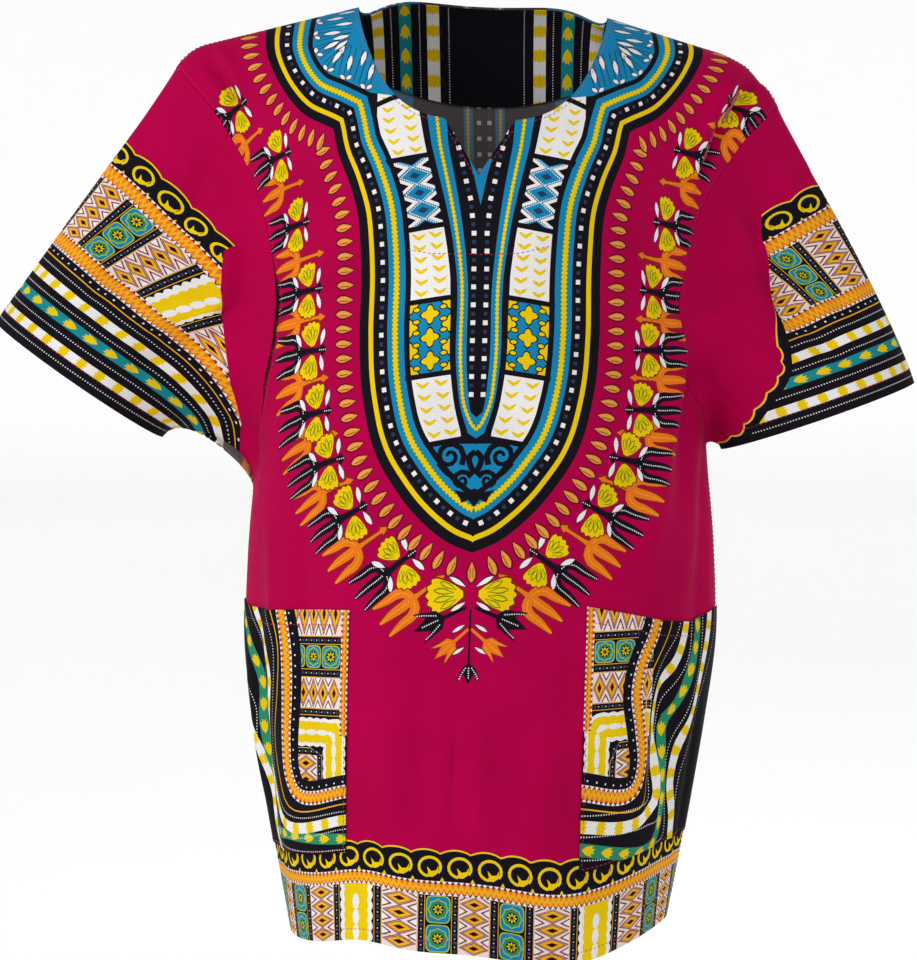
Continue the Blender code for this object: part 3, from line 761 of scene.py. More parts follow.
class Print:
    """Flat rings, each painted over the ones before it, with one ink each."""

    def __init__(self):
        self.rings = []
        self.inks = []

    def paint(self, ring, ink):
        self.rings.append(np.asarray(ring, float))
        self.inks.append(ink)

    def lay(self, other, place):
        """Paints another print, its points moved by a function."""
        for ring, ink in zip(other.rings, other.inks):
            self.paint(place(ring), ink)

    def add(self, other):
        """Paints another print where it is."""
        self.rings += other.rings
        self.inks += other.inks

    def stamp(self, other, at, turn=0.0, size=1.0, flip=1.0):
        """Paints another print scaled, turned anticlockwise and moved to a point."""
        across = np.array([math.cos(turn), math.sin(turn)]) * size * flip
        up = np.array([-math.sin(turn), math.cos(turn)]) * size
        self.lay(other, lambda ring: np.asarray(at) + ring[:, :1] * across + ring[:, 1:] * up)

    def both_sides(self, centre=0.0):
        """This print and its mirror image about a centre line, painted ring by ring."""
        whole = Print()
        for ring, ink in zip(self.rings, self.inks):
            whole.paint(ring + [centre, 0.0], ink)
            whole.paint(ring * [-1.0, 1.0] + [centre, 0.0], ink)
        return whole


def box(left, low, right, high):
    return np.array([(left, low), (right, low), (right, high), (left, high)])


def oval(centre, half_width, half_height, count=8):
    angle = np.arange(count) * 2.0 * math.pi / count
    return np.asarray(centre) + np.stack([half_width * np.cos(angle), half_height * np.sin(angle)], axis=1)


def leaf(length, width, fullest=0.5, base=0.0, plump=1.0, count=5):
    """A leaf up from (0, base): half a sine wave across, stretched so that it is fullest at that share, and
    raised to a power below 1 where its ends are rounder."""
    part = np.linspace(0.0, 1.0, count + 2)
    part = (1.0 - np.cos(math.pi * part)) / 2
    half = width / 2 * np.sin(math.pi * part ** (math.log(0.5) / math.log(fullest))) ** plump
    half[[0, -1]] = 0.0
    right = np.stack([half, base + length * part], axis=1)
    left = right[1:-1][::-1] * [-1.0, 1.0]
    return np.concatenate([right, left])


def path_normals(path):
    """Unit normals to the left of a path, mitred: each is as long as keeps both sides at one distance."""
    steps = np.diff(path, axis=0)
    steps = steps / np.maximum(np.linalg.norm(steps, axis=1, keepdims=True), 1e-12)
    sides = np.stack([-steps[:, 1], steps[:, 0]], axis=1)
    before = np.concatenate([sides[:1], sides])
    after = np.concatenate([sides, sides[-1:]])
    middle = before + after
    middle = middle / np.maximum(np.linalg.norm(middle, axis=1, keepdims=True), 1e-9)
    return middle / np.maximum(np.sum(middle * after, axis=1, keepdims=True), 0.5)


def ribbon(path, width):
    """The ring round a path at half the width to each side. The width may vary along it."""
    path = np.asarray(path, float)
    aside = path_normals(path) * np.reshape(width, (-1, 1)) / 2
    return np.concatenate([path - aside, (path + aside)[::-1]])


def read_off(at, lengths, path, rule=np.interp):
    """A path's rows at some lengths along it, by straight lines or by another rule."""
    return np.stack([rule(at, lengths, values) for values in np.asarray(path).T], axis=1)


def lengths_of(path):
    return np.concatenate([[0.0], np.cumsum(np.linalg.norm(np.diff(path, axis=0), axis=1))])


def even_path(path, step):
    """The path's points at even steps along its length."""
    lengths = lengths_of(path)
    at = np.linspace(0.0, lengths[-1], max(int(round(lengths[-1] / step)), 1) + 1)
    return read_off(at, lengths, path)


def inset(path, distance):
    """A path moved to its right, without the points that came nearer than the distance to it."""
    path = even_path(path, 1.5 * MM)
    moved = path - path_normals(path) * distance
    gaps = np.linalg.norm(moved[:, None] - path[None], axis=2).min(axis=1)
    return moved[(gaps > distance * 0.985) & (moved[:, 0] >= 0.0)]


def places_along(path, pitch, start):
    """Points at a pitch along a path, and the direction of the path there."""
    lengths = lengths_of(path)
    at = np.arange(start, lengths[-1], pitch)
    points = read_off(at, lengths, path)
    ahead = read_off(at + 1e-3, lengths, path)
    behind = read_off(at - 1e-3, lengths, path)
    ways = ahead - behind
    return points, np.arctan2(ways[:, 1], ways[:, 0])


def dots(path, pitch, size, ink, start=0.0):
    """Small squares along a path, standing along it."""
    made = Print()
    square = Print()
    square.paint(box(-size / 2, -size / 2, size / 2, size / 2), ink)
    for point, way in zip(*places_along(np.asarray(path), pitch, start)):
        made.stamp(square, point, way)
    return made


def saw(path, width, depth, pitch):
    """A ribbon whose two edges are saw teeth: the width swings by twice the depth at each half pitch."""
    path = even_path(path, pitch / 2)
    swing = np.where(np.arange(len(path)) % 2 == 0, depth, -depth)
    return ribbon(path, width + 2.0 * swing)


def curve(*points, step=3.0):
    """A smooth path in millimetres through the points, as metres."""
    points = np.array(points, float)
    lengths = lengths_of(points)
    at = np.linspace(0.0, lengths[-1], max(int(lengths[-1] / step), 2) + 1)
    return read_off(at, lengths, points, smooth_curve) * MM


# ---------------------------------------------------------------- flowers, leaves and seeds


def seed():
    """A seed 18 mm long, up from its tip at the origin: dark skin, orange body and three strokes."""
    made = Print()
    made.paint(leaf(18.4, 8.6, 0.60, 0.0, 0.72) * MM, PLUM)
    made.paint(leaf(17.0, 7.2, 0.60, 0.7, 0.72) * MM, BROWN)
    made.paint(leaf(15.6, 5.9, 0.60, 1.4, 0.72) * MM, SEED)
    made.paint(ribbon(curve((-0.9, 5.5), (-0.9, 14.5), step=9.0), 0.6 * MM), AMBER)
    made.paint(ribbon(curve((1.0, 6.0), (1.1, 14.0), step=9.0), 0.6 * MM), BROWN)
    return made


def petal(length, width):
    """A white leaf with a dark edge, up from the origin."""
    made = Print()
    made.paint(leaf(length, width, 0.55, 0.0, 0.8) * MM, PLUM)
    made.paint(leaf(length - 1.4, width - 1.5, 0.55, 0.7, 0.8) * MM, WHITE)
    return made


def fan(wide):
    """A yellow flower 22 mm long, up from its stem: a shell with a scalloped edge and looped veins. It is
    drawn wider where the cloth turns away at the sides."""
    made = Print()
    angle = np.linspace(-1.0, 1.0, 21)
    edge = 21.0 - 2.6 * angle**2 + 0.9 * np.cos(angle * 5.0 * math.pi)
    rim = np.stack([edge * np.sin(angle * 0.60), edge * np.cos(angle * 0.60)], axis=1)
    outer = np.concatenate([[(1.6, 0.0), (5.0, 4.0), (7.6, 8.5)], rim[::-1], [(-7.6, 8.5), (-5.0, 4.0), (-1.6, 0.0)]])
    made.paint(outer * [wide, 1.0] * MM, BROWN)
    made.paint((outer * [0.90 * wide, 0.91] + [0.0, 0.95]) * MM, YELLOW)
    vein = Print()
    vein.paint(leaf(12.0, 3.9, 0.62, 5.0) * [wide, 1.0] * MM, OLIVE)
    vein.paint(leaf(9.8, 2.2, 0.62, 6.2) * [wide, 1.0] * MM, YELLOW)
    for lean, size in ((-0.50, 0.88), (0.50, 0.88), (-0.17, 1.0), (0.17, 1.0)):
        made.stamp(vein, (0.0, 0.0), lean, size)
    return made


FORK_ARMS = (
    ((0.4, 57.0), (6.8, 58.8), (10.2, 64.0), (10.8, 73.0), (12.6, 87.0)),
    ((0.0, 58.0), (0.3, 66.0), (0.0, 74.0), (0.6, 88.5)),
    ((-0.4, 57.0), (-6.8, 58.8), (-10.2, 64.0), (-10.8, 73.0), (-12.6, 87.0)),
)


def fork(ink, edge_ink, dot_ink, arm_width):
    """A stem from 27 mm to 60 mm away, and a flower of three pointed arms beyond it."""
    made = Print()
    stem = [(0.0, 26.5), (2.0, 30.0), (3.1, 32.2), (1.5, 33.0), (1.1, 36.0), (1.5, 50.0), (2.6, 58.0)]
    stem = np.array(stem)
    stem = np.concatenate([stem, stem[:0:-1] * [-1.0, 1.0]])
    arms = [curve(*arm) for arm in FORK_ARMS]
    taper = [arm_width * np.sin(math.pi * np.linspace(0.34, 0.95, len(arm))) ** 0.8 for arm in arms]
    for grown, colour in ((1.8, edge_ink), (0.0, ink)):
        for arm, width in zip(arms, taper):
            made.paint(ribbon(arm, (width + grown) * MM), colour)
        made.paint(stem * [1.0 + grown * 0.42, 1.0] * MM, colour)
    for arm in arms:
        made.add(dots(arm, 1.8 * MM, 0.95 * MM, dot_ink, 2.5 * MM))
    return made


def orange_spray():
    return fork(ORANGE, BROWN, AMBER, 7.6)


def black_spray(wide):
    """A black stem and fork, with two pairs of white leaves and a yellow flower on each side."""
    made = fork(BLACK, PLUM, WHITE, 6.2)
    made.add(dots(np.array([(0.0, 28.0), (0.0, 35.0)]) * MM, 2.0 * MM, 0.9 * MM, WHITE, 0.4 * MM))
    for side in (-1.0, 1.0):
        made.stamp(fan(wide), (2.6 * side * MM, 41.5 * MM), -1.28 * side, 0.94)
        made.stamp(petal(14.0, 5.8), (3.0 * side * MM, 33.5 * MM), -1.80 * side)
        made.stamp(petal(13.6, 5.8), (3.4 * side * MM, 54.5 * MM), -0.98 * side)
    return made


def small_fork(ink, edge_ink, dot_ink, spread, size):
    """A short stem from the origin and a bud of three points."""
    made = Print()
    tips = [(-spread, 31.0), (-spread * 0.45, 24.0), (0.0, 34.0), (spread * 0.45, 24.0), (spread, 31.0)]
    body = [(-1.0, 0.0), (-1.2, 14.0), (-5.5, 17.0), (-spread * 0.8, 24.0), *tips]
    body = [*body, (spread * 0.8, 24.0), (5.5, 17.0), (1.2, 14.0), (1.0, 0.0)]
    body = np.array(body) * size
    middle = np.array([0.0, 20.0 * size])
    made.paint((middle + (body - middle) * [1.13, 1.08]) * MM, edge_ink)
    made.paint(body * MM, ink)
    for way in (-1.0, 0.0, 1.0):
        line = np.array([(way * 3.0, 17.5), (way * spread * 0.72, 25.0), (way * spread * 0.9, 29.5)])
        made.add(dots(line * size * MM, 1.8 * MM, 0.9 * MM, dot_ink, 0.5 * MM))
    return made


# ---------------------------------------------------------------- neck print, drawn as its left half

Mark = namedtuple("Mark", "v half_width")
TONGUE_UPPER = [
    Mark(*row)
    for row in (
        (0.8300, 0.1700), (0.7900, 0.1765), (0.7420, 0.1815), (0.7020, 0.1840), (0.6750, 0.1760),
        (0.6480, 0.1562), (0.6308, 0.1250),
    )
]
TONGUE_LOWER = [
    Mark(*row)
    for row in (
        (0.6308, 0.1250), (0.6120, 0.1208), (0.5850, 0.1085), (0.5610, 0.1003), (0.5370, 0.0972),
        (0.5150, 0.0958), (0.4660, 0.0958), (0.4300, 0.0933), (0.4080, 0.0892), (0.3900, 0.0845),
        (0.3700, 0.0758), (0.3525, 0.0640), (0.3350, 0.0500), (0.3205, 0.0350), (0.3088, 0.0190),
        (0.3008, 0.0000),
    )
]
# Distance in from the tongue's edge where each plain band starts
Band = namedtuple("Band", "inset ink")
TONGUE_BANDS = [
    Band(*row)
    for row in (
        (0.0, BLACK), (8.0 * MM, YELLOW), (12.0 * MM, BLACK), (24.0 * MM, BLUE), (27.6 * MM, GREEN),
        (33.2 * MM, BLUE), (37.8 * MM, BLACK),
    )
]
BLOCK_INSET = 42.2 * MM
# Half-widths, in millimetres, of the nested V shapes down the middle at each height
V_HEIGHTS = (0.690, 0.655, 0.640, 0.610, 0.5995, 0.547, 0.5125, 0.437, 0.411, 0.391)
Vee = namedtuple("Vee", "ink tip half_widths")
VEES = (
    Vee(BLACK, 0.3830, (57.5, 50.5, 47.9, 42.2, 39.8, 27.8, 23.0, 20.7, 16.8, 11.5)),
    Vee(BLUE, 0.3875, (51.5, 44.5, 42.0, 37.0, 34.4, 22.6, 17.9, 16.1, 12.4, 6.0)),
    Vee(GREEN, 0.3915, (46.0, 39.0, 36.6, 32.3, 30.0, 20.0, 15.6, 14.2, 10.6, 0.6)),
    Vee(BLUE, 0.3970, (41.5, 34.5, 32.4, 28.8, 26.6, 17.0, 12.9, 11.3, 8.2, 0.0)),
    Vee(BLACK, 0.4035, (36.5, 28.5, 26.8, 24.1, 22.0, 13.4, 9.7, 8.2, 5.4, 0.0)),
)
Block = namedtuple("Block", "kind top bottom")
BLOCKS = (
    Block("chevrons", 0.6680, 0.6055),
    Block("lattice", 0.6020, 0.5500),
    Block("chevrons", 0.5470, 0.4950),
    Block("rosettes", 0.4910, 0.4380),
    Block("chevrons", 0.4340, 0.3870),
)
BLOCK_LEAN = 0.0045
Spray = namedtuple("Spray", "across v droop")
ORANGE_SPRAYS = [
    Spray(*row)
    for row in (
        (0.2050, 0.6450, 10), (0.1596, 0.5924, 3), (0.1333, 0.5330, 7), (0.1295, 0.4827, 2),
        (0.1247, 0.4358, 1), (0.1135, 0.3923, 5), (0.0980, 0.3568, 18), (0.0668, 0.3206, 32),
        (0.0207, 0.2840, 36),
    )
]
BLACK_SPRAYS = [
    Spray(*row)
    for row in (
        (0.2150, 0.6740, 12), (0.1729, 0.6197, 6), (0.1503, 0.5598, 4), (0.1321, 0.5054, 3),
        (0.1266, 0.4574, -2), (0.1197, 0.4104, 0), (0.1060, 0.3736, 10), (0.0838, 0.3386, 26),
        (0.0428, 0.3034, 36),
    )
]
SPRAY_START = 27.0 * MM
# Down the middle of the two columns of squares beside the slit, and of those on the back
COLUMNS = np.array(
    [(25.5, 655), (17.3, 613.7), (13.4, 597), (10.7, 584), (7.6, 570.7), (5.0, 545), (4.5, 415)]
) * MM
COLUMNS_BACK = np.array([(4.6, 800), (4.6, 415)]) * MM


def tongue_edge():
    """Left edge of the neck print from the shoulder down to its tip: two smooth curves that meet in a corner."""
    parts = []
    for marks in (TONGUE_UPPER, TONGUE_LOWER):
        points = np.array([(mark.half_width, mark.v) for mark in marks])
        lengths = lengths_of(points)
        at = np.linspace(0.0, lengths[-1], int(lengths[-1] / 0.004) + 1)
        parts.append(read_off(at, lengths, points, smooth_curve))
    return np.concatenate([parts[0][:-1], parts[1]])


def seed_rail(edge):
    """Where each seed's tip lies outside the tongue and which way it points, turning slowly past the corner."""
    path = even_path(edge[::-1], 1.0 * MM)
    away = -path_normals(path)
    soft = np.hanning(31)
    away = np.stack([np.convolve(np.pad(away[:, k], 15, "edge"), soft, "valid") for k in (0, 1)], axis=1)
    away = away / np.linalg.norm(away, axis=1, keepdims=True)
    rail = path + away * 5.2 * MM
    lengths = lengths_of(path + away * 13.0 * MM)
    at = np.arange(10.5 * MM, lengths[-1], 11.3 * MM)
    points = read_off(at, lengths, rail)
    turn = [np.interp(at, lengths, values) for values in away.T]
    return points, np.arctan2(turn[1], turn[0])


def half_fill(edge):
    """The ring between an edge that goes down to the centre line and that line."""
    tip = edge[-1] * [0.0, 1.0]
    tip[1] -= edge[-1][0] * 0.9
    return np.concatenate([edge, [tip, (0.0, edge[0][1])]])


def vee_width(vee, v):
    return np.interp(v, V_HEIGHTS[::-1], vee.half_widths[::-1]) * MM


def back_widths(vee):
    """The same V shape where no slit spreads it: no wider above than at its waist, up to the neckline."""
    return tuple(min(width, max(vee.half_widths[6:])) for width in vee.half_widths)


def vee_edge(vee, half_widths):
    """A V shape's edge from the top to its tip on the centre line."""
    v = np.append(np.linspace(V_HEIGHTS[0] + 0.1, max(V_HEIGHTS[-1], vee.tip + 0.004), 60), vee.tip)
    widths = np.append(smooth_curve(v[:-1], V_HEIGHTS[::-1], half_widths[::-1]) * MM, 0.0)
    return np.stack([widths, v], axis=1)


def chevrons(made, place, rows, pitch):
    """Rows of two small yellow birds on white; s runs from -1 to 1 across, t in metres down."""
    bird = [(-5.8, 2.3), (-2.6, 1.5), (0.0, -0.1), (2.6, 1.5), (5.8, 2.3), (3.5, -0.9), (0.0, -3.2), (-3.5, -0.9)]
    for row in range(rows):
        for s in (-0.47, 0.47):
            centre = place(np.array([(s, (row + 0.5) * pitch)]))[0]
            made.paint(centre + np.array(bird) * MM, YELLOW)


def lattice(made, place, length):
    """Three blue diamonds in a chain, dotted along their edges, open ones at both ends, and white V marks."""
    pitch = length / 3.84
    rows = 0.42 * pitch + pitch * np.arange(4)
    diamond = np.array([(0.0, -0.5), (1.0, 0.0), (0.0, 0.5), (-1.0, 0.0)])
    for row in rows[:3]:
        middle = row + pitch / 2
        for wide, tall, ink in ((0.98, 1.12, BLUE), (0.34, 0.40, NAVY)):
            made.paint(place(diamond * [wide, pitch * tall] + [0.0, middle]), ink)
    for way in (-1.0, 1.0):
        s = np.array([0.80, 0.0, 0.86, 0.0, 0.86, 0.0, 0.86, 0.0, 0.80]) * way
        t = [0.0, rows[0], rows[0] + pitch / 2, rows[1], rows[1] + pitch / 2, rows[2], rows[2] + pitch / 2, rows[3]]
        path = place(np.stack([s, [*t, length]], axis=1))
        for ends in (path[:2], path[-2:]):
            made.paint(ribbon(ends, 3.0 * MM), BLUE)
        made.add(dots(path, 1.9 * MM, 1.0 * MM, WHITE, 0.6 * MM))
    for row in rows:
        for way in (-1.0, 1.0):
            marks = [(1.0 * way, row - 0.37 * pitch), (0.34 * way, row), (1.0 * way, row + 0.37 * pitch)]
            made.paint(ribbon(place(np.array(marks)), 2.5 * MM), WHITE)


def rosette(size):
    """A yellow flower of four round petals with a black edge."""
    angle = np.linspace(0.0, 2.0 * math.pi, 21)[:-1]
    reach = size * (0.78 + 0.22 * np.cos(4.0 * angle))
    ring = np.stack([reach * np.cos(angle), reach * np.sin(angle)], axis=1) * MM
    return ring


def rosettes(made, place, length):
    """Yellow flowers on blue: three down the middle, half ones down both sides, small curls between."""
    half_width = np.ptp(place(np.array([(-1.0, length / 2), (1.0, length / 2)]))[:, 0]) / 2

    def draw(s, t, shape, ink):
        """A shape in metres round a point of the field, kept inside the field's edges."""
        at = np.stack([s + shape[:, 0] / half_width, t + shape[:, 1]], axis=1)
        made.paint(place(np.clip(at, [-1.0, 0.0], [1.0, length])), ink)

    for row in range(3):
        middle = length * (row + 0.5) / 3
        for side in (-1.0, 1.0):
            for rise in (-1.0, 1.0):
                for size, ink in ((3.4, BLACK), (2.5, YELLOW)):
                    curl = oval((side * 10.6 * MM, rise * 4.6 * MM), size * MM, (size - 1.0) * MM)
                    draw(0.0, middle, curl, ink)
        for side in (-1.0, 1.0):
            for share in (row / 3, (row + 1) / 3):
                for size, ink in ((8.0, BLACK), (6.6, YELLOW)):
                    draw(side, length * share, rosette(size), ink)
        for size, ink in ((8.6, BLACK), (7.2, YELLOW)):
            draw(0.0, middle, rosette(size), ink)


def spiral(start, turns, radius, centre, hand):
    """A path that winds inwards: its radius shrinks evenly with its angle."""
    part = np.linspace(0.0, 1.0, int(10 * turns) + 1)
    angle = start + hand * turns * 2.0 * math.pi * part
    reach = radius * (1.0 - 0.86 * part)
    return (np.asarray(centre) + np.stack([reach * np.cos(angle), reach * np.sin(angle)], axis=1)) * MM


def scrolls():
    """Paired black scrolls, right half, in millimetres down from the top of their field."""
    made = Print()
    for centre, radius, start, turns, broad, fine in (
        ((19.6, -12.5), 11.6, 215, 1.6, 4.6, 2.4),
        ((9.8, -31.0), 7.6, 160, 1.4, 4.0, 2.0),
    ):
        path = spiral(math.radians(start), turns, radius, centre, -1.0)
        made.paint(ribbon(path, np.linspace(broad, fine, len(path)) * MM), BLACK)
    made.paint(ribbon(curve((28.0, -17.5), (21.0, -25.0), (15.0, -29.0)), 4.4 * MM), BLACK)
    made.paint(ribbon(curve((0.0, -9.0), (4.5, -13.0), (3.4, -20.0), (0.0, -26.0)), 4.6 * MM), BLACK)
    crown = [(0.0, -37.0), (8.0, -39.5), (15.5, -38.0), (11.5, -43.0), (9.5, -48.0), (4.5, -45.5), (0.0, -51.0)]
    made.paint(np.array(crown) * MM, BLACK)
    return made


def collar(made, rim):
    """The blue field round the neck: white leaves that point at the neckline, thin rays, and buds at its rims."""
    path = rim[(rim[:, 1] > 0.6485) & (rim[:, 1] < 0.815)][::-1]
    points, ways = places_along(path, 10.4 * MM, 6.0 * MM)
    white, bud = petal(16.5, 5.8), petal(7.4, 5.0)
    for number, (point, way) in enumerate(zip(points, ways)):
        inward = way + math.pi / 2
        lean = inward - math.radians(12.0)
        ahead = np.array([math.cos(lean), math.sin(lean)])
        for aside in (-2.6, 2.6):
            foot = point + np.array([math.cos(way), math.sin(way)]) * aside * MM
            made.paint(ribbon(np.array([foot + ahead * 3.0 * MM, foot + ahead * 34.0 * MM]), 0.6 * MM), BLACK)
        reach = 8.5 + 9.0 * (number % 2)
        made.stamp(white, point + ahead * reach * MM, lean - math.pi / 2)
        if number % 2 == 0:
            for turn in (way - math.pi / 2 + 0.35, inward - math.pi / 2 + 0.55):
                made.stamp(bud, point + ahead * 0.6 * MM, turn)


def neck_rim(edge):
    """Buds in pairs along the neckline's edge, which cuts some of them."""
    made = Print()
    bud = petal(7.0, 4.6)
    path = edge[edge[:, 0] > 0.058]
    for point, way in zip(*places_along(path, 14.0 * MM, 6.0 * MM)):
        outward = way - math.pi / 2
        foot = point + np.array([math.cos(outward), math.sin(outward)]) * 3.0 * MM
        made.stamp(bud, foot, outward - math.pi / 2 + 0.8)
        made.stamp(bud, foot, outward - math.pi / 2 - 0.8)
    return made


def outward_turn(droop):
    """The turn that lays an upright motif level on the left, drooping by some degrees."""
    return -math.pi / 2 - math.radians(droop)


def place_block(block, inner_vee, rim_width):
    """Lays a block's field: s from -1 to 1 between the nested V and the rim, t in metres down."""

    def place(at):
        s, down = at[:, 0], at[:, 1]
        v = block.top - down
        inner, outer = vee_width(inner_vee, v), rim_width(v)
        u = (inner + outer) / 2 + s * (outer - inner) / 2
        return np.stack([u, v - s * BLOCK_LEAN / 2], axis=1)

    return place


def paint_blocks(made, rim_width):
    """The five blocks down each side of the nested V shapes, each with a black line above and below."""
    for block in BLOCKS:
        length = block.top - block.bottom
        place = place_block(block, VEES[0], rim_width)
        down = np.linspace(0.0, length, 8)
        sides = [np.stack([np.full(8, s), down], axis=1) for s in (-1.0, 1.0)]
        field = place(np.concatenate([sides[0], sides[1][::-1]]))
        if block.kind == "chevrons":
            made.paint(field, WHITE)
            rows = int(round(length / (9.3 * MM)))
            chevrons(made, place, rows, length / rows)
        elif block.kind == "lattice":
            made.paint(field, BLACK)
            lattice(made, place, length)
        else:
            made.paint(field, BLUE)
            rosettes(made, place, length)
        for low, high in ((-4.0 * MM, 0.0), (length, length + 4.0 * MM)):
            made.paint(place(np.array([(-1.3, low), (1.3, low), (1.3, high), (-1.3, high)])), BLACK)


def paint_vees(made, widths):
    """The nested V shapes down the middle and a yellow zigzag on their green one."""
    edges = [vee_edge(vee, row) for vee, row in zip(VEES, widths)]
    for vee, edge in zip(VEES, edges):
        made.paint(half_fill(edge), vee.ink)
    middle = (edges[2] + edges[3]) / 2
    made.paint(saw(middle[middle[:, 0] > -1e-6], 2.2 * MM, 0.5 * MM, 3.4 * MM), YELLOW)


def shifted_above(print_made):
    """The print drawn a little to the wearer's right over the chest, as it lies on the cloth."""
    moved = Print()
    moved.lay(print_made, lambda ring: ring - smooth_step((ring[:, 1:] - 0.50) / 0.15) * [0.0028, 0.0])
    return moved


def neck_print(neckline, back=False):
    """The whole print round the neck, mirrored about its centre line. The back's has no slit: the nested V
    shapes keep their width up to the neckline there."""
    edge = tongue_edge()
    under = Print()
    for orange, places in ((True, ORANGE_SPRAYS), (False, BLACK_SPRAYS)):
        for across, v, droop in places:
            turn = outward_turn(droop)
            away = np.array([-math.sin(turn), math.cos(turn)])
            motif = orange_spray() if orange else black_spray(1.0 + 0.22 * away[0] ** 2)
            under.stamp(motif, np.array([across, v]) - away * SPRAY_START, turn)
    rail, ways = seed_rail(edge)
    for point, way in zip(rail, ways):
        under.stamp(seed(), point, way - math.pi / 2)
    for band in TONGUE_BANDS:
        moved = edge if band.inset == 0.0 else inset(edge, band.inset)
        under.paint(half_fill(moved), band.ink)
    under.paint(saw(inset(edge, 30.4 * MM), 4.0 * MM, 0.7 * MM, 3.4 * MM), YELLOW)
    middle = inset(edge, 19.0 * MM)[::-1]
    under.add(dots(middle, 14.0 * MM, 3.6 * MM, WHITE, 6.0 * MM))
    under.add(dots(middle, 14.0 * MM, 2.8 * MM, NAVY, 13.0 * MM))
    rim = inset(edge, BLOCK_INSET)
    lower = rim[rim[:, 1] < 0.6560][::-1]

    def rim_width(v):
        return np.interp(v, lower[:, 1], lower[:, 0])

    tip = rim[rim[:, 1] < 0.3835]
    under.paint(np.concatenate([[(0.0, 0.3835)], tip, [(0.0, tip[-1][1] - tip[-1][0] * 0.9)]]), BLUE)
    under.stamp(scrolls(), (0.0, 0.3865))
    under.paint(ribbon(inset(edge, 40.0 * MM), 4.4 * MM), BLACK)
    paint_blocks(under, rim_width)
    field = rim[rim[:, 1] > 0.6495]
    under.paint(np.concatenate([field, [(0.0650, 0.6555), (0.0500, 0.83)]]), BLUE)
    collar(under, rim)
    under.add(neck_rim(neckline[neckline[:, 0] > 0.0][::-1]))
    under.paint(ribbon(inset(edge, 40.0 * MM)[:-40], 4.4 * MM), BLACK)
    under.paint(ribbon(np.array([(0.0600, 0.6575), (0.0720, 0.6540), (0.0900, 0.6465)]), 4.4 * MM), BLACK)
    if back:
        under.paint(half_fill(np.array([(0.052, 0.83), (0.052, 0.655), (0.0, 0.640)])), BLACK)
    paint_vees(under, [back_widths(vee) if back else vee.half_widths for vee in VEES])
    columns = COLUMNS_BACK if back else COLUMNS
    under.add(dots(columns[::-1], 13.7 * MM, 3.6 * MM, WHITE, 6.0 * MM))
    under.add(dots(columns[::-1], 13.7 * MM, 2.8 * MM, NAVY, 12.85 * MM))
    if not back:
        under.paint(np.array([(0.0, 0.603), (0.0088, 0.603), (0.0052, 0.590), (0.0, 0.566)]), BLUE)
    under.add(bottom_spray())
    return shifted_above(under.both_sides(PRINT_CENTRE))


def bottom_spray():
    """Under the tongue's tip: a seed, two flowers lying across, and a stem with leaves, sprigs and buds."""
    made = Print()
    made.stamp(seed(), (0.0, 0.2955), math.pi)
    made.stamp(fan(1.0), (0.0045, 0.2700), -math.pi / 2 - 0.05, 1.45)
    for v, size in ((0.2790, 1.15), (0.2600, 1.0), (0.2430, 0.85), (0.2260, 0.8)):
        rise = 1.0 if v > 0.27 else -1.0
        made.stamp(petal(14.0, 4.6), (0.0035, v - 0.004 * rise), -math.pi / 2 + 0.55 * rise, size)
    made.stamp(small_fork(BLACK, PLUM, WHITE, 9.0, 1.2), (0.0050, 0.2590), -math.pi / 2 - 0.42)
    made.stamp(small_fork(ORANGE, BROWN, AMBER, 8.0, 0.98), (0.0010, 0.2435), -math.pi / 2 - 0.72)
    made.paint(ribbon(np.array([(0.0, 0.2580), (0.0, 0.2150)]), 1.6 * MM), BLACK)
    made.stamp(small_fork(BLACK, PLUM, WHITE, 11.0, 0.72), (0.0, 0.2270), math.pi)
    return made


# ---------------------------------------------------------------- border prints


def upright(left, low):
    """Lays a motif's length up the cloth and its width across it, from a corner."""
    return lambda at: np.stack([left + at[:, 1], low + at[:, 0]], axis=1)


def level(left, low):
    return lambda at: at + [left, low]


def along(path):
    """Lays a motif along a path: x is the length run along it, y the distance to its left."""
    path = even_path(path, 4.0 * MM)
    lengths = lengths_of(path)
    normals = path_normals(path)

    def place(at):
        points = read_off(at[:, 0], lengths, path)
        sides = read_off(at[:, 0], lengths, normals)
        return points + sides * at[:, 1:]

    return place, lengths[-1]


def strip(made, place, length, low, high, ink, step=8.0 * MM):
    """A plain band from x = 0 to the length, between two widths."""
    x = np.linspace(0.0, length, max(int(length / step), 1) + 1)
    lower = np.stack([x, np.full(len(x), low)], axis=1)
    upper = np.stack([x[::-1], np.full(len(x), high)], axis=1)
    made.paint(place(np.concatenate([lower, upper])), ink)


def rows_of(motif, place, made, pitch, length, start=0.0):
    """The motif again and again along a band, each painted in its own place."""
    for x in np.arange(start, length, pitch):
        for ring, ink in zip(motif.rings, motif.inks):
            moved = ring + [x, 0.0]
            if moved[:, 0].max() <= length + 1e-6:
                made.paint(place(moved), ink)


def pin_dots(made, place, length, middle, pitch=2.4 * MM, size=0.95 * MM):
    """A fine dotted white line between two stripes."""
    motif = Print()
    motif.paint(box(0.0, middle - size / 2, size, middle + size / 2), WHITE)
    rows_of(motif, place, made, pitch, length)


def bead_strip(made, place, length, low, width=6.0 * MM):
    """A black strip with thin yellow edges, navy beads and small white dots between them."""
    strip(made, place, length, low, low + width, BLACK)
    for edge in (low + 0.15 * MM, low + width - 0.65 * MM):
        strip(made, place, length, edge, edge + 0.5 * MM, AMBER, 12.0 * MM)
    middle = low + width / 2
    motif = Print()
    motif.paint(oval((2.4 * MM, middle), 1.5 * MM, 1.4 * MM, 6), NAVY)
    motif.paint(oval((5.4 * MM, middle), 0.6 * MM, 0.6 * MM, 4), WHITE)
    rows_of(motif, place, made, 6.2 * MM, length)


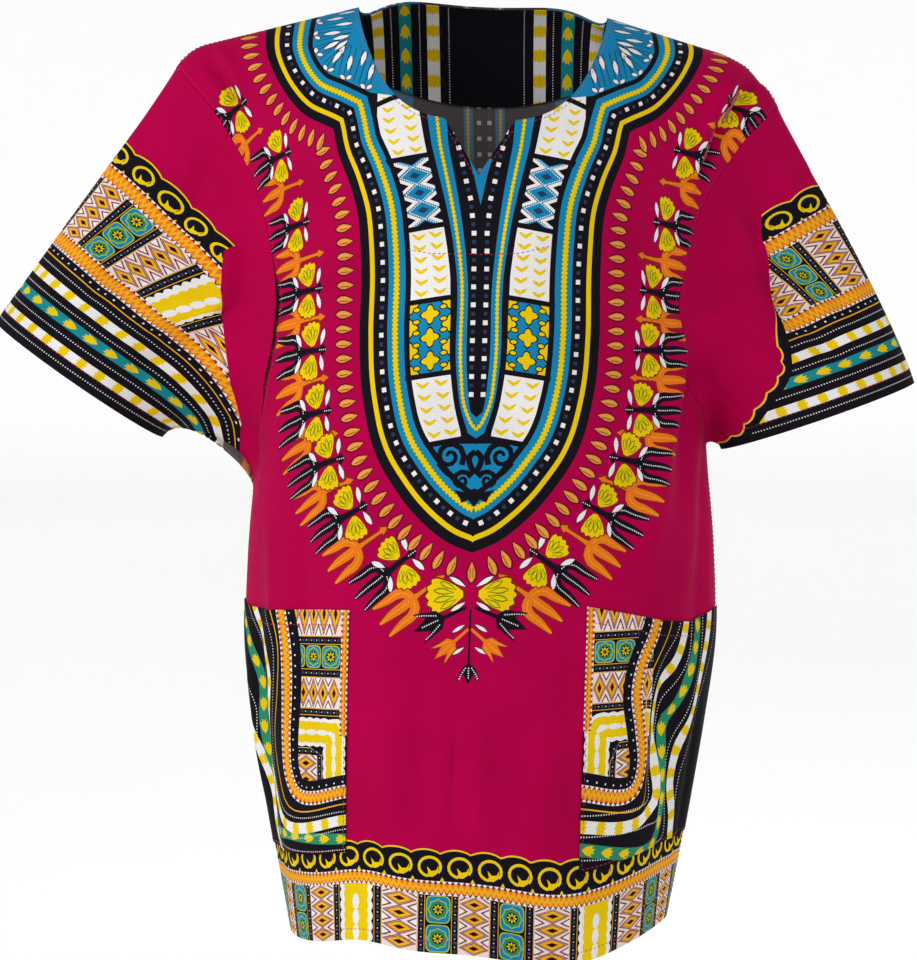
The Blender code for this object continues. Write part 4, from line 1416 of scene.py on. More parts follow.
def resist_stripe(made, place, length, low, high, pitch=17.5 * MM):
    """White stripe with soft-ended yellow patches: each end is cut in small teeth, as yarn dyed in hanks."""
    strip(made, place, length, low, high, WHITE)
    teeth = np.linspace(low, high, 7)
    bite = np.where(np.arange(7) % 2 == 0, 1.6 * MM, -0.3 * MM) + 1.2 * MM * np.abs(np.linspace(-1.0, 1.0, 7))
    reach = 0.56 * pitch
    left = np.stack([bite, teeth], axis=1)
    right = np.stack([reach - bite, teeth], axis=1)
    motif = Print()
    motif.paint(np.concatenate([left[::-1], right]), YELLOW)
    rows_of(motif, place, made, pitch, length, 0.2 * pitch)


def arrow_stripe(made, place, length, low, high, pitch=20.0 * MM, ground=TEAL):
    """Teal or green stripe with yellow arrows: a blunt point ahead and a tail of three feathers."""
    strip(made, place, length, low, high, ground)
    half = (high - low) / 2
    shape = np.array(
        [(1.00, 0.0), (0.70, 0.62), (0.42, 0.80), (0.10, 0.92), (0.26, 0.50), (-0.06, 0.34), (0.12, 0.0)]
    )
    shape = np.concatenate([shape, shape[-2:0:-1] * [1.0, -1.0]]) * [0.62 * pitch, half * 0.92]
    motif = Print()
    motif.paint(shape + [0.12 * pitch, (low + high) / 2], YELLOW)
    rows_of(motif, place, made, pitch, length)


def zigzag_band(made, place, length, low, high):
    """Orange band with white teeth along both edges and a thick amber zigzag between them."""
    strip(made, place, length, low, high, BROWN)
    pitch = 4.4 * MM
    width = high - low
    tooth = min(0.26 * width, 3.0 * MM)
    strip(made, place, length, low + tooth * 0.75, high - tooth * 0.75, ORANGE)
    motif = Print()
    for edge, way in ((low, 1.0), (high, -1.0)):
        rise = np.array([edge + 0.2 * MM * way, edge + 0.2 * MM * way, edge + tooth * way])
        motif.paint(np.stack([[0.40 * MM, pitch - 0.40 * MM, pitch / 2], rise], axis=1), WHITE)
    rows_of(motif, place, made, pitch, length)
    x = np.arange(0.0, length, pitch / 2)
    swing = np.where(np.arange(len(x)) % 2 == 0, -1.0, 1.0) * (width / 2 - tooth - 0.5 * MM)
    made.paint(place(ribbon(np.stack([x, low + width / 2 + swing], axis=1), 0.19 * width)), AMBER)


def diamond_block(made, place, length, low, high, pitch=11.3 * MM):
    """Pale block with a chain of amber diamonds, their brown edges crossing, each with a dark heart."""
    strip(made, place, length, low, high, BLUSH)
    count = max(int(round(length / pitch)), 1)
    pitch = length / count
    middle, half = (low + high) / 2, (high - low) / 2
    unit = np.array([(-0.5, 0.0), (0.0, -1.0), (0.5, 0.0), (0.0, 1.0)])
    motif = Print()
    for grown, ink in ((1.0, BROWN), (0.70, WHITE)):
        for edge, way in ((low, 1.0), (high, -1.0)):
            x = np.array([-0.34, 0.34, 0.0]) * pitch * grown
            rise = edge + way * np.array([0.03, 0.03, 0.60 * grown]) * half
            motif.paint(np.stack([x + pitch, rise], axis=1), ink)
    centre = np.array([pitch / 2, middle])
    for wide, tall, ink in (
        (1.06, 0.98, BROWN),
        (0.92, 0.84, BLUSH),
        (0.86, 0.80, BROWN),
        (0.74, 0.70, AMBER),
        (0.34, 0.36, BROWN),
        (0.24, 0.26, BLACK),
    ):
        motif.paint(unit * [pitch * wide, half * tall] + centre, ink)
    for number in range(count):
        for ring, ink in zip(motif.rings, motif.inks):
            moved = ring + [number * pitch, 0.0]
            moved[:, 0] = np.clip(moved[:, 0], 0.0, length)
            if np.ptp(moved[:, 0]) > 0.3 * MM:
                made.paint(place(moved), ink)


def medallion_block(made, place, length, low, high, pitch=21.5 * MM):
    """Blue tiles with a yellow-green edge; in each an eight-cornered medallion with a flower of eight seeds."""
    strip(made, place, length, low, high, BLACK)
    count = max(int(round(length / pitch)), 1)
    pitch = length / count
    middle, half = (low + high) / 2, (high - low) / 2
    angle = np.arange(24) * math.pi / 12
    ring = np.round(np.stack([np.cos(angle), np.sin(angle)], axis=1), 9)
    tile = np.sign(ring) * np.abs(ring) ** 0.42
    waves = (1.0 + 0.09 * np.cos(8.0 * angle))[:, None]
    for number in range(count):
        centre = np.array([pitch * (number + 0.5), middle])
        size = np.array([pitch / 2 - 0.5 * MM, half - 0.5 * MM])
        made.paint(place(centre + tile * size), LIME)
        made.paint(place(centre + tile * (size - 0.8 * MM)), BLUE)
        reach = ring * waves * min(size) * 0.80
        made.paint(place(centre + reach), LIME)
        made.paint(place(centre + reach * (1.0 - 1.0 * MM / min(size))), GREEN)
        made.paint(place(centre + ring[::3] * 4.6 * MM), BLACK)
        for turn in np.arange(8) * math.pi / 4:
            way = np.array([math.cos(turn), math.sin(turn)])
            aside = np.array([-way[1], way[0]])
            petals = [way * 0.9, way * 2.5 + aside * 0.80, way * 4.2, way * 2.5 - aside * 0.80]
            made.paint(place(centre + np.array(petals) * MM), YELLOW)


def wavy_block(made, place, length, low, high):
    """White block with scalloped edges on black, two wavy yellow bands, and a chain of white links between."""
    strip(made, place, length, low, high, BLACK)
    half, middle = (high - low) / 2, (low + high) / 2
    x = np.arange(0.0, length + 1e-9, 2.0 * MM)
    x = np.append(x, length) if length - x[-1] > 0.5 * MM else x
    scallop = np.abs(np.sin(math.pi * x / (8.0 * MM)))
    for share, swing, ink in ((0.86, 0.10, WHITE), (0.64, 0.07, YELLOW)):
        reach = half * (share + swing * scallop)
        ring = np.concatenate([np.stack([x, middle - reach], axis=1), np.stack([x, middle + reach], axis=1)[::-1]])
        made.paint(place(ring), ink)
    link = Print()
    link.paint(oval((6.0 * MM, middle), 6.4 * MM, half * 0.20, 8), WHITE)
    rows_of(link, place, made, 12.0 * MM, length)


def loop_band(made, place, length, low, tall, arch=23.0 * MM):
    """Black band with a scalloped yellow edge on the plain ground, and a yellow curl with a leaf in each arch."""
    strip(made, place, length, low, low + tall - 3.0 * MM, BLACK)
    x = np.linspace(0.0, length, int(length / (1.9 * MM)) + 1)
    scallop = np.abs(np.sin(math.pi * x / arch)) ** 0.7
    for under, ink in ((0.0, YELLOW), (1.2 * MM, BLACK)):
        top = low + tall - 3.2 * MM + 3.2 * MM * scallop - under
        ring = np.concatenate([[(0.0, low + 1.0 * MM)], np.stack([x, top], axis=1), [(length, low + 1.0 * MM)]])
        made.paint(place(ring), ink)
    curl = Print()
    scale = (tall - 3.4 * MM) / (18.4 * MM)
    angle = np.linspace(math.radians(-38.0), math.radians(262.0), 15)
    around = np.stack([7.4 * np.cos(angle), 6.3 * np.sin(angle)], axis=1) + [11.5, 9.6]
    curl.paint(ribbon(around * MM, 1.8 * MM), YELLOW)
    tail = [(9.8, 3.0), (10.6, 6.0), (9.6, 9.6), (12.6, 6.8), (15.8, 7.4), (17.6, 10.8), (16.8, 5.2), (13.6, 3.0)]
    curl.paint(np.array(tail) * MM, YELLOW)
    curl.paint(np.array([(-1.5, 0.5), (1.5, 0.5), (0.0, 3.0)]) * MM, YELLOW)
    shifted = Print()
    shifted.lay(curl, lambda ring: ring * scale + [0.0, low])
    rows_of(shifted, place, made, arch, length, 1.8 * MM)


Part = namedtuple("Part", "kind width")
BLOCK_ROW = [
    Part(*row)
    for row in (
        ("wavy", 33.4), ("beads", 7.2), ("diamonds", 29.5), ("beads", 6.1), ("medallions", 20.1),
        ("beads", 5.8), ("diamonds", 23.2), ("beads", 7.1), ("medallions", 20.1), ("beads", 7.2),
        ("diamonds", 28.9), ("beads", 6.8),
    )
]
BLOCK_ROW_LENGTH = sum(part.width for part in BLOCK_ROW) * MM
BLOCK_KINDS = {"wavy": wavy_block, "diamonds": diamond_block, "medallions": medallion_block}


def block(made, kind, place, length, width):
    if kind == "beads":
        bead_strip(made, place, length, 0.0, width)
    else:
        BLOCK_KINDS[kind](made, place, length, 0.0, width)


def block_row(made, left, right, low, tall, phase):
    """Upright blocks side by side; the row repeats, and phase is where one wavy block has its left edge."""
    start = phase - math.ceil((phase - left) / BLOCK_ROW_LENGTH) * BLOCK_ROW_LENGTH
    while start < right:
        for part in BLOCK_ROW:
            width = part.width * MM
            if start + width > left and start < right:
                block(made, part.kind, upright(start, low), tall, width)
            start += width


def hem_print(left, right):
    """The border above the hem."""
    made = Print()
    length = right - left
    place = level(left, 0.0)
    loop_band(made, place, length, 0.0545, 0.0245)
    block_row(made, left, right, 0.0, 0.0445, -0.1011)
    zigzag_band(made, place, length, 0.0440, 0.0550)
    return made


# Distances from the cuff, in millimetres
SLEEVE_PINS = (6.7, 26.5, 45.7, 65.9)
SLEEVE_RESISTS = ((12.6, 20.1), (51.8, 59.7))
SLEEVE_ARROWS = (32.4, 41.0)


# Where plain ground shows beside each sleeve's border: its edge on the flat sleeve, from the armhole down
BARE_GROUND = {
    "sleeve_right": np.array([
        (95, 262), (97.7, 172.5), (115.2, 147.5), (150.2, 117.5), (182.7, 90), (212, 78), (240, 74),
    ]),
    "sleeve_left": np.array([(40, 262), (46, 187.5), (66.5, 152.5), (94, 110), (122, 72)]),
}
SCALLOPED_EDGE = {
    "sleeve_left": np.array([
        (122, 72), (134, 54), (150, 42), (166.4, 31), (180, 21.5), (194, 13), (226, 9),
    ]),
}


def bare_ground(made, name, corner):
    """Plain ground over a sleeve's border, ending at a fold, and where it ends in the open, at a scalloped edge."""
    edge = BARE_GROUND[name] * MM
    if name in SCALLOPED_EDGE:
        path = even_path(SCALLOPED_EDGE[name] * MM, 1.8 * MM)
        lengths = lengths_of(path)
        swell = (np.abs(np.sin(math.pi * lengths / (17.0 * MM))) ** 0.7)[:, None] * 2.6 * MM
        aside = path_normals(path)
        aside = aside * np.sign(np.sum(aside * [1.0, 1.0], axis=1, keepdims=True))
        for out, ink in ((-11.0 * MM, BLACK), (-3.0 * MM, YELLOW), (-1.6 * MM, CRIMSON)):
            scallops = path + aside * (out - swell * (ink != BLACK))
            made.paint(np.concatenate([edge[:-1], scallops, [(0.25, corner), (0.25, 0.30)]]), ink)
    else:
        made.paint(np.concatenate([edge, [(0.25, 0.30)]]), CRIMSON)


def sleeve_print(name, left, right, phase):
    """The border above a cuff: stripes, a row of blocks between two zigzags, and a scalloped edge."""
    made = Print()
    length = right - left
    place = level(left, 0.0)
    strip(made, place, length, 0.0, 0.165, BLACK)
    for low, high in SLEEVE_RESISTS:
        resist_stripe(made, place, length, low * MM, high * MM)
    arrow_stripe(made, place, length, SLEEVE_ARROWS[0] * MM, SLEEVE_ARROWS[1] * MM)
    for middle in SLEEVE_PINS:
        pin_dots(made, place, length, middle * MM)
    strip(made, place, length, 71.5 * MM, 72.5 * MM, AMBER)
    pin_dots(made, place, length, 75.7 * MM, 8.5 * MM, 1.4 * MM)
    block_row(made, left, right, 92.2 * MM, 55.8 * MM, phase)
    zigzag_band(made, place, length, 79.0 * MM, 93.2 * MM)
    loop_band(made, place, length, 160.0 * MM, 22.5 * MM)
    zigzag_band(made, place, length, 147.0 * MM, 161.0 * MM)
    bare_ground(made, name, 0.008)
    return made


def facing_print(low, high):
    """Stripes that run down the facing inside the back neck, mirrored about its middle."""
    made = Print()
    length = high - low
    for middle, width in ((46.5, 11.0), (95.2, 9.0), (134.5, 9.0)):
        resist_stripe(made, upright((middle - width / 2) * MM, low), length, 0.0, width * MM, 23.0 * MM)
    arrow_stripe(made, upright(66.0 * MM, low), length, 0.0, 11.0 * MM, 23.0 * MM)
    for middle in (32.7, 58.5, 84.0, 110.5, 124.5):
        pin_dots(made, upright(middle * MM, low), length, 0.0)
    strip(made, upright(0.1161, low), length, 0.0, 1.0 * MM, AMBER)
    whole = Print()
    whole.paint(box(-0.3, low - 0.02, 0.3, high + 0.02), BLACK)
    whole.add(made.both_sides(PRINT_CENTRE))
    return whole


Course = namedtuple("Course", "kind points")
# Where the stripes of each pocket run, in millimetres from the front's centre line and above the hem
POCKET_COURSES = {
    "pocket_left": (
        Course("pins", (
            (250, 262), (250.5, 240.7), (230.1, 188.4), (221.1, 155), (203, 123.9), (202, 98.5), (208.7, 64.6),
        )),
        Course("resist", (
            (236, 262), (233.6, 241.7), (221.6, 198.7), (214, 170.5), (195.4, 139.1), (192, 114.5),
            (201, 87.7), (204, 65),
        )),
        Course("pins", (
            (225, 262), (222.3, 236.7), (215.4, 202.8), (202.4, 167.9), (185.1, 140.5), (187.5, 100.7),
            (190, 73.8), (170, 70.8), (85, 78.3),
        )),
        Course("arrows", (
            (216, 262), (214.8, 237.2), (206.5, 213.1), (192.2, 178.1), (177.3, 163.2), (178, 139.3),
            (182, 94.7), (178, 79.4), (85, 85.5),
        )),
        Course("pins", (
            (207, 262), (205, 237.7), (196.7, 204.2), (173.7, 178.2), (169.5, 153.1), (176.9, 119.8),
            (176, 87.9), (165, 87.2), (85, 93.4),
        )),
        Course("resist", (
            (197, 262), (195.1, 236.5), (186.9, 212.5), (165.6, 188.2), (161.3, 164.6), (169, 138.9),
            (171, 101), (160, 95.3), (85, 100.3),
        )),
        Course("pins", (
            (190, 262), (186.6, 238.7), (158.2, 194.3), (154.5, 165.2), (163.2, 129.4), (163, 104.1),
            (152, 103.2), (85, 107),
        )),
        Course("line", (
            (178, 262), (174.9, 239.5), (151.3, 194.9), (150.9, 165.5), (158.4, 129.7), (158, 109.4),
            (85, 112),
        )),
        Course("zigzag", (
            (164, 262), (156.7, 236.5), (143.9, 210.2), (140.1, 190.3), (145.9, 158.8), (149.5, 132.8),
            (146, 120.2), (85, 122.4),
        )),
    ),
    "pocket_right": (
        Course("resist", (
            (262, 225), (250, 200), (234.8, 165.5), (224, 141.7), (215.1, 112.1), (211, 85.2), (190, 70.5),
            (85, 64.8),
        )),
        Course("pins", (
            (258, 232), (236, 205.7), (223.6, 181.5), (226.1, 150.7), (212.3, 111.8), (205.2, 80), (190, 76.2),
            (85, 70.9),
        )),
        Course("arrows", (
            (250.7, 268), (227, 235.6), (213.3, 201.1), (217.7, 166.6), (215.7, 140), (204.5, 108.5),
            (196, 86.6), (160, 84), (85, 79.4),
        )),
        Course("pins", (
            (230.8, 270), (207, 236.1), (193.9, 208.8), (207, 167.1), (207.7, 140), (195.3, 112.8),
            (186.2, 93.7), (85, 88),
        )),
        Course("resist", (
            (218.1, 270), (197.5, 236.3), (183.3, 208.3), (195.9, 167.8), (199.3, 140.7), (186, 117),
            (177, 100.4), (85, 95.6),
        )),
        Course("pins", (
            (188, 268), (171.2, 227.6), (174.7, 196.1), (183.2, 161.2), (183.4, 131.5), (171.3, 107.5),
            (85, 102.6),
        )),
        Course("line", (
            (178.4, 268), (164.6, 227.8), (167.4, 190.8), (175.8, 153), (170.2, 129.8), (163.2, 111.9),
            (85, 109),
        )),
        Course("zigzag", (
            (165.6, 270), (155.7, 227.9), (154.4, 191.4), (156.3, 154.5), (155.3, 133.8), (150.3, 121.5),
            (85, 119.2),
        )),
    ),
}


def pocket_print(name, side, top):
    """Stripes that follow the pocket's outer side and turn along its bottom, and blocks inside their bend."""
    made = Print()
    made.paint(box(0.08, 0.05, 0.31, 0.29), BLACK)
    inner = POCKET_INNER_EDGE
    zigzag = POCKET_COURSES[name][-1]
    floor = zigzag.points[-1][1] * MM + 6.0 * MM
    left, right = inner + 6.5 * MM, inner + 62.0 * MM
    wide = right - left
    for low, high, kind in (
        (19.4, -14.0, "diamonds"),
        (26.1, 19.4, "beads"),
        (44.5, 26.1, "medallions"),
        (51.3, 44.5, "beads"),
        (74.5, 51.3, "diamonds"),
        (80.3, 74.5, "beads"),
    ):
        block(made, kind, level(left, top - low * MM), wide, (low - high) * MM)
    for kind, aside, down, thick in (("wavy", 11.8, 93.0, 23.4), ("beads", 26.4, 107.8, 6.0)):
        x, y = inner + aside * MM, top - down * MM
        corner = np.array([(x, floor - 4.0 * MM), (x, y - 2.0 * MM), (x + 2.0 * MM, y), (right, y)])
        place, length = along(corner)
        block(made, kind, lambda at: place(at - [0.0, thick / 2 * MM]), length, thick * MM)
    bottom = floor - 3.0 * MM
    block(made, "diamonds", upright(inner + 29.4 * MM, bottom), top - 110.8 * MM - bottom, 24.0 * MM)
    for course in POCKET_COURSES[name]:
        points = np.array(course.points) * MM
        lengths = lengths_of(points)
        at = np.linspace(0.0, lengths[-1], 60)
        path = read_off(at, lengths, points, smooth_curve)
        place, length = along(path)
        if course.kind == "pins":
            pin_dots(made, place, length, 0.0)
        elif course.kind == "resist":
            resist_stripe(made, place, length, -4.2 * MM, 4.2 * MM)
        elif course.kind == "arrows":
            arrow_stripe(made, place, length, -4.4 * MM, 4.4 * MM, 18.0 * MM, GREEN)
        elif course.kind == "line":
            strip(made, place, length, -0.5 * MM, 0.5 * MM, AMBER)
        else:
            strip(made, place, length, -13.5 * MM, 0.0, BLACK)
            pin_dots(made, place, length, -8.2 * MM, 8.0 * MM, 1.2 * MM)
            zigzag_band(made, place, length, -5.6 * MM, 5.6 * MM)
    zigzag_band(made, upright(inner - 0.5 * MM, top - 95.0 * MM), 115.0 * MM, 0.0, 7.0 * MM)
    mirrored = Print()
    mirrored.lay(made, lambda ring: ring * [side, 1.0])
    return mirrored


# ---------------------------------------------------------------- cloth meshes

def linear(colour):
    """sRGB hex to linear red, green and blue: (c / 12.92) when dark, else ((c + 0.055) / 1.055) to 2.4."""
    parts = np.array([int(colour[1 + 2 * k : 3 + 2 * k], 16) for k in range(3)]) / 255.0
    return tuple(np.where(parts <= 0.04045, parts / 12.92, ((parts + 0.055) / 1.055) ** 2.4).tolist())


# What of the dye and of the undyed thread shows on the wrong side, and how dark a cut edge is
UNDYED = "#BDB6B4"
DYE_THROUGH = 0.62
UNDYED_THROUGH = 0.20
CUT_EDGE = 0.8


def reverse_side(ink):
    """How dye shows on the back of the cloth: part way to the grey of undyed thread."""
    return ink * DYE_THROUGH + np.array(linear(UNDYED)) * UNDYED_THROUGH


def facing_ways(triangles, points):
    """The normal of each triangle, as long as twice its area."""
    corners = points[triangles]
    return np.cross(corners[:, 1] - corners[:, 0], corners[:, 2] - corners[:, 0])


def outward(triangles, points, normals):
    """The triangles, turned over where they face against the normals."""
    against = np.sum(facing_ways(triangles, points) * normals[triangles[:, 0]]) < 0
    return triangles[:, ::-1] if against else triangles


def put(name, data):
    """A new object in the scene that shows some data."""
    made = bpy.data.objects.new(name, data)
    bpy.context.scene.collection.objects.link(made)
    return made


def sewn_cloth(name, cloth, outline, drawing, inks, materials, lift=0.0, thickness=0.0010, spacing=0.005):
    """A piece of cloth: its flat drawing cut into triangles, laid on its shape and given a thickness.

    Printed side = cloth + normal (lift + half the thickness); wrong side = cloth + normal (lift - half the
    thickness), its triangles turned over; the rim joins the two along each edge that only one triangle has."""
    flat, triangles, drawn = cut_cloth(outline, drawing, spacing)
    outer, normals = cloth.place(flat, lift + thickness / 2)
    triangles = outward(triangles, outer, normals)
    rim, owners = rim_edges(triangles)
    reverse, reverse_triangles, reverse_drawn, under = cut_reverse(flat, rim, outline, drawing, spacing)
    inner, reverse_normals = cloth.place(reverse, lift - thickness / 2)
    reverse_triangles = outward(reverse_triangles, inner, -reverse_normals)
    a, b, below_a, below_b = rim[:, 0], rim[:, 1], under[:, 0] + len(flat), under[:, 1] + len(flat)
    rims = np.concatenate([np.stack([b, a, below_a], axis=1), np.stack([b, below_a, below_b], axis=1)])
    points = np.concatenate([outer, inner])
    faces = np.concatenate([triangles, reverse_triangles + len(flat), rims])
    sides = len(triangles) + len(reverse_triangles)
    mesh = bpy.data.meshes.new(name)
    mesh.vertices.add(len(points))
    mesh.vertices.foreach_set("co", points.ravel())
    mesh.loops.add(faces.size)
    mesh.loops.foreach_set("vertex_index", faces.ravel().astype(np.int32))
    mesh.polygons.add(len(faces))
    mesh.polygons.foreach_set("loop_start", np.arange(0, faces.size, 3, dtype=np.int32))
    mesh.polygons.foreach_set("material_index", (np.arange(len(faces)) >= len(triangles)).astype(np.int32))
    mesh.update(calc_edges=True)
    for material in materials:
        mesh.materials.append(material)

    printed = inks[drawn]
    rim_ink = np.tile(printed[owners], (2, 1)) * CUT_EDGE
    colours = np.concatenate([printed, reverse_side(inks[reverse_drawn]), rim_ink])
    corner_colours = np.concatenate([np.repeat(colours, 3, axis=0), np.ones((faces.size, 1))], axis=1)
    layer = mesh.color_attributes.new("ink", "BYTE_COLOR", "CORNER")
    layer.data.foreach_set("color", corner_colours.ravel().astype(np.float32))

    both = np.concatenate([flat, reverse])
    weave = mesh.uv_layers.new(name="Cloth")
    weave.data.foreach_set("uv", both[faces].reshape(-1).astype(np.float32))
    place_in_bake(mesh, flat, reverse, faces, rim, sides)

    whole = np.concatenate([normals, -reverse_normals])[faces]
    corner_normals = whole.reshape(-1, 3)
    edge_faces = np.arange(len(faces)) >= sides
    mesh.polygons.foreach_set("use_smooth", np.ones(len(faces), bool))
    flat_normals = facing_ways(faces, points)
    flat_normals = flat_normals / np.maximum(np.linalg.norm(flat_normals, axis=1, keepdims=True), 1e-15)
    corner_normals[np.repeat(edge_faces, 3)] = np.repeat(flat_normals[edge_faces], 3, axis=0)
    mesh.normals_split_custom_set(corner_normals)

    return put(name, mesh)


BAKE_SHARE = 0.66


def place_in_bake(mesh, flat, reverse, faces, rim, sides):
    """The bake's UV map: the printed side fills two thirds of the square, the reverse the rest, and each rim
    face lies just outside the printed side's edge."""
    low = flat.min(axis=0)
    size = (flat.max(axis=0) - low).max() + 0.004
    wide = (flat.max(axis=0) - low)[0] + 0.004
    outer = (flat - low + 0.002) / size
    scale = min(1.0, (wide / size) ** -1 * BAKE_SHARE) if wide / size > BAKE_SHARE else 1.0
    outer = outer * scale
    room = 1.0 - outer[:, 0].max() - 0.01
    shrink = min(room / (wide / size), 1.0) if room > 0.12 else 0.30
    inner = (reverse - low + 0.002) / size * shrink
    inner[:, 0] += outer[:, 0].max() + 0.006
    uv = np.concatenate([outer, inner])
    corners = uv[faces].copy()
    a, b = rim[:, 0], rim[:, 1]
    edge = outer[b] - outer[a]
    length = np.maximum(np.linalg.norm(edge, axis=1, keepdims=True), 1e-9)
    away = np.stack([edge[:, 1], -edge[:, 0]], axis=1) / length * (0.0004 / size)
    if np.sum(twice_area(outer, faces[: sides // 4])) < 0:
        away = -away
    rims = len(rim)
    corners[sides : sides + rims] = np.stack([outer[b], outer[a], outer[a] + away], axis=1)
    corners[sides + rims :] = np.stack([outer[b], outer[a] + away, outer[b] + away], axis=1)
    layer = mesh.uv_layers.new(name="OFBake")
    layer.data.foreach_set("uv", corners.reshape(-1).astype(np.float32))


# ---------------------------------------------------------------- sewing

Run = namedtuple("Run", "cloth path lift")


def beside_edge(edge, distance, inward):
    """An edge's path moved by a distance to the side on which the inward point lies."""
    path = even_path(edge, 0.004)
    middle = len(path) // 2
    aside = path_normals(path) * distance
    return path + aside * np.sign(np.dot(aside[middle], np.array(inward) - path[middle]))


def stitch_mesh(runs, length, gap, width):
    """Points and faces of every stitch in some runs.

    A stitch lies along its path and is a spindle of two rings of four points and a tip at each end; its
    top stands half a thread above the cloth and its underside is sunk in it."""
    ring = np.array([(0.0, 1.0), (0.5, 0.1), (0.0, -0.5), (-0.5, 0.1)])
    along = np.concatenate([[-0.5], np.repeat([-0.32, 0.32], 4), [0.5]]) * length
    beside = np.concatenate([[0.0], np.tile(ring[:, 0], 2), [0.0]]) * width
    above = np.concatenate([[-0.2], np.tile(ring[:, 1], 2), [-0.2]]) * width * 0.6
    tips = [(0, 1 + (k + 1) % 4, 1 + k) for k in range(4)] + [(9, 5 + k, 5 + (k + 1) % 4) for k in range(4)]
    walls = [(1 + k, 1 + (k + 1) % 4, 5 + (k + 1) % 4) for k in range(4)]
    walls += [(1 + k, 5 + (k + 1) % 4, 5 + k) for k in range(4)]
    pattern = np.array(tips + walls)
    points, faces, count = [], [], 0
    for run in runs:
        lengths = lengths_of(run.path)
        middles = np.arange(length, lengths[-1] - length / 2, length + gap)
        centre = read_off(middles, lengths, run.path)
        ways = read_off(middles, lengths, path_normals(run.path))
        ways = ways / np.linalg.norm(ways, axis=1, keepdims=True)
        ahead = np.stack([ways[:, 1], -ways[:, 0]], axis=1)
        flat = centre[:, None] + ahead[:, None] * along[None, :, None] + ways[:, None] * beside[None, :, None]
        lift = np.tile(above + run.lift, len(middles))[:, None]
        placed, _ = run.cloth.place(flat.reshape(-1, 2), lift)
        points.append(placed)
        faces.append((pattern[None] + count + 10 * np.arange(len(middles))[:, None, None]).reshape(-1, 3))
        count += len(placed)
    return np.concatenate(points), np.concatenate(faces)


def stitching(name, runs, material):
    """One piece that holds all the stitches of some runs."""
    sewing = bpy.context.scene.dashiki_sewing
    points, faces = stitch_mesh(runs, sewing.stitch_length, sewing.stitch_gap, sewing.thread_width)
    mesh = bpy.data.meshes.new(name)
    mesh.from_pydata(points.tolist(), [], faces.tolist())
    mesh.polygons.foreach_set("use_smooth", np.ones(len(faces), bool))
    mesh.materials.append(material)
    bm = bmesh.new()
    bm.from_mesh(mesh)
    bmesh.ops.recalc_face_normals(bm, faces=bm.faces)
    bm.to_mesh(mesh)
    bm.free()
    piece = put(name, mesh)
    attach(piece, "root")
    return piece


HEM_STITCHES = 0.0085
CUFF_STITCHES = 0.0120
EDGE_STITCHES = 0.0030
POCKET_HEM = 0.0115
# Where the facing's stitches show on the front, below the slit
FACING_STITCHES = ((-59, 532.7), (-36, 528.9), (-12.8, 528.2), (10.1, 527.9), (33.1, 529.4), (58.9, 536.0))


def panel_runs(cloth, top):
    """Stitch lines of a panel: above the hem, round the neck, beside the shoulders, armholes and side seams."""
    reach = edge_reach(np.array([HEM_STITCHES / BODY_LENGTH]), cloth.panel)[0] - 0.003
    runs = [np.stack([np.linspace(-reach, reach, 240), np.full(240, HEM_STITCHES)], axis=1)]
    neck = cloth.neckline()
    corner = SLIT_HALF_WIDTH + 0.001 if cloth.panel == "front" else 0.0
    for side in (1.0, -1.0):
        far, near = (side * 0.2, 0.5), (0.0, 0.45)
        runs.append(beside_edge(neck[neck[:, 0] * side >= corner], EDGE_STITCHES, far))
        if cloth.panel == "front":
            slit = neck[(neck[:, 0] * side >= 0.0) & (neck[:, 0] * side <= SLIT_HALF_WIDTH - 1e-5)]
            runs.append(beside_edge(slit, EDGE_STITCHES, (side * 0.2, 0.55)))
        runs.append(beside_edge(cloth.side_edge(side, ARMPIT_CLIMB, 1.985, 110), EDGE_STITCHES, near))
        runs.append(beside_edge(cloth.side_edge(side, 0.03, ARMPIT_CLIMB, 90), EDGE_STITCHES, near))
        runs.append(beside_edge(cloth.shoulder(side)[1:-1], EDGE_STITCHES, near))
    if cloth.panel == "front":
        runs.append(even_path(np.array(FACING_STITCHES) * MM, 0.004))
    return [Run(cloth, run, top) for run in runs]


def pocket_runs(front, name, side, top):
    """Stitch lines of a pocket: down its inner edge and along its bottom, and below its top edge."""
    low = climb_at(POCKET_BOTTOM_HEIGHT) * BODY_LENGTH + 0.002
    high = climb_at(POCKET_TOP_HEIGHT) * BODY_LENGTH
    inner = POCKET_INNER_EDGE + 0.002
    outer = edge_reach(np.array([low / BODY_LENGTH]), "front")[0] - 0.004
    sewn = np.array([(inner, high), (inner, low), (outer, low)])
    outer = edge_reach(np.array([high / BODY_LENGTH]), "front")[0] - 0.006
    across = np.linspace(inner + 0.002, outer, 60)
    hem = np.stack([across, high - POCKET_HEM + np.interp(across, *POCKET_TOPS[name].T)], axis=1)
    return [Run(front, even_path(path, 0.003) * [side, 1.0], top) for path in (sewn, hem)]


def cuff_runs(cloth, top):
    """The stitch line round a cuff."""
    across = np.linspace(-cloth.round / 2 + 0.002, cloth.round / 2 - 0.002, 200)
    return [Run(cloth, np.stack([across, np.full(200, CUFF_STITCHES)], axis=1), top)]


# ---------------------------------------------------------------- materials


def node(tree, kind, settings=(), **links):
    """Adds a node, sets its properties and sockets, and links sockets given as (node, output name)."""
    made = tree.nodes.new(kind)
    for name, value in dict(settings).items():
        setattr(made, name, value)
    for name, value in links.items():
        socket = made.inputs[int(name[1:])] if name[1:].isdigit() else made.inputs[name.replace("_", " ")]
        if isinstance(value, tuple) and value and isinstance(value[0], bpy.types.Node):
            tree.links.new(value[0].outputs[value[1]], socket)
        else:
            socket.default_value = value
    return made


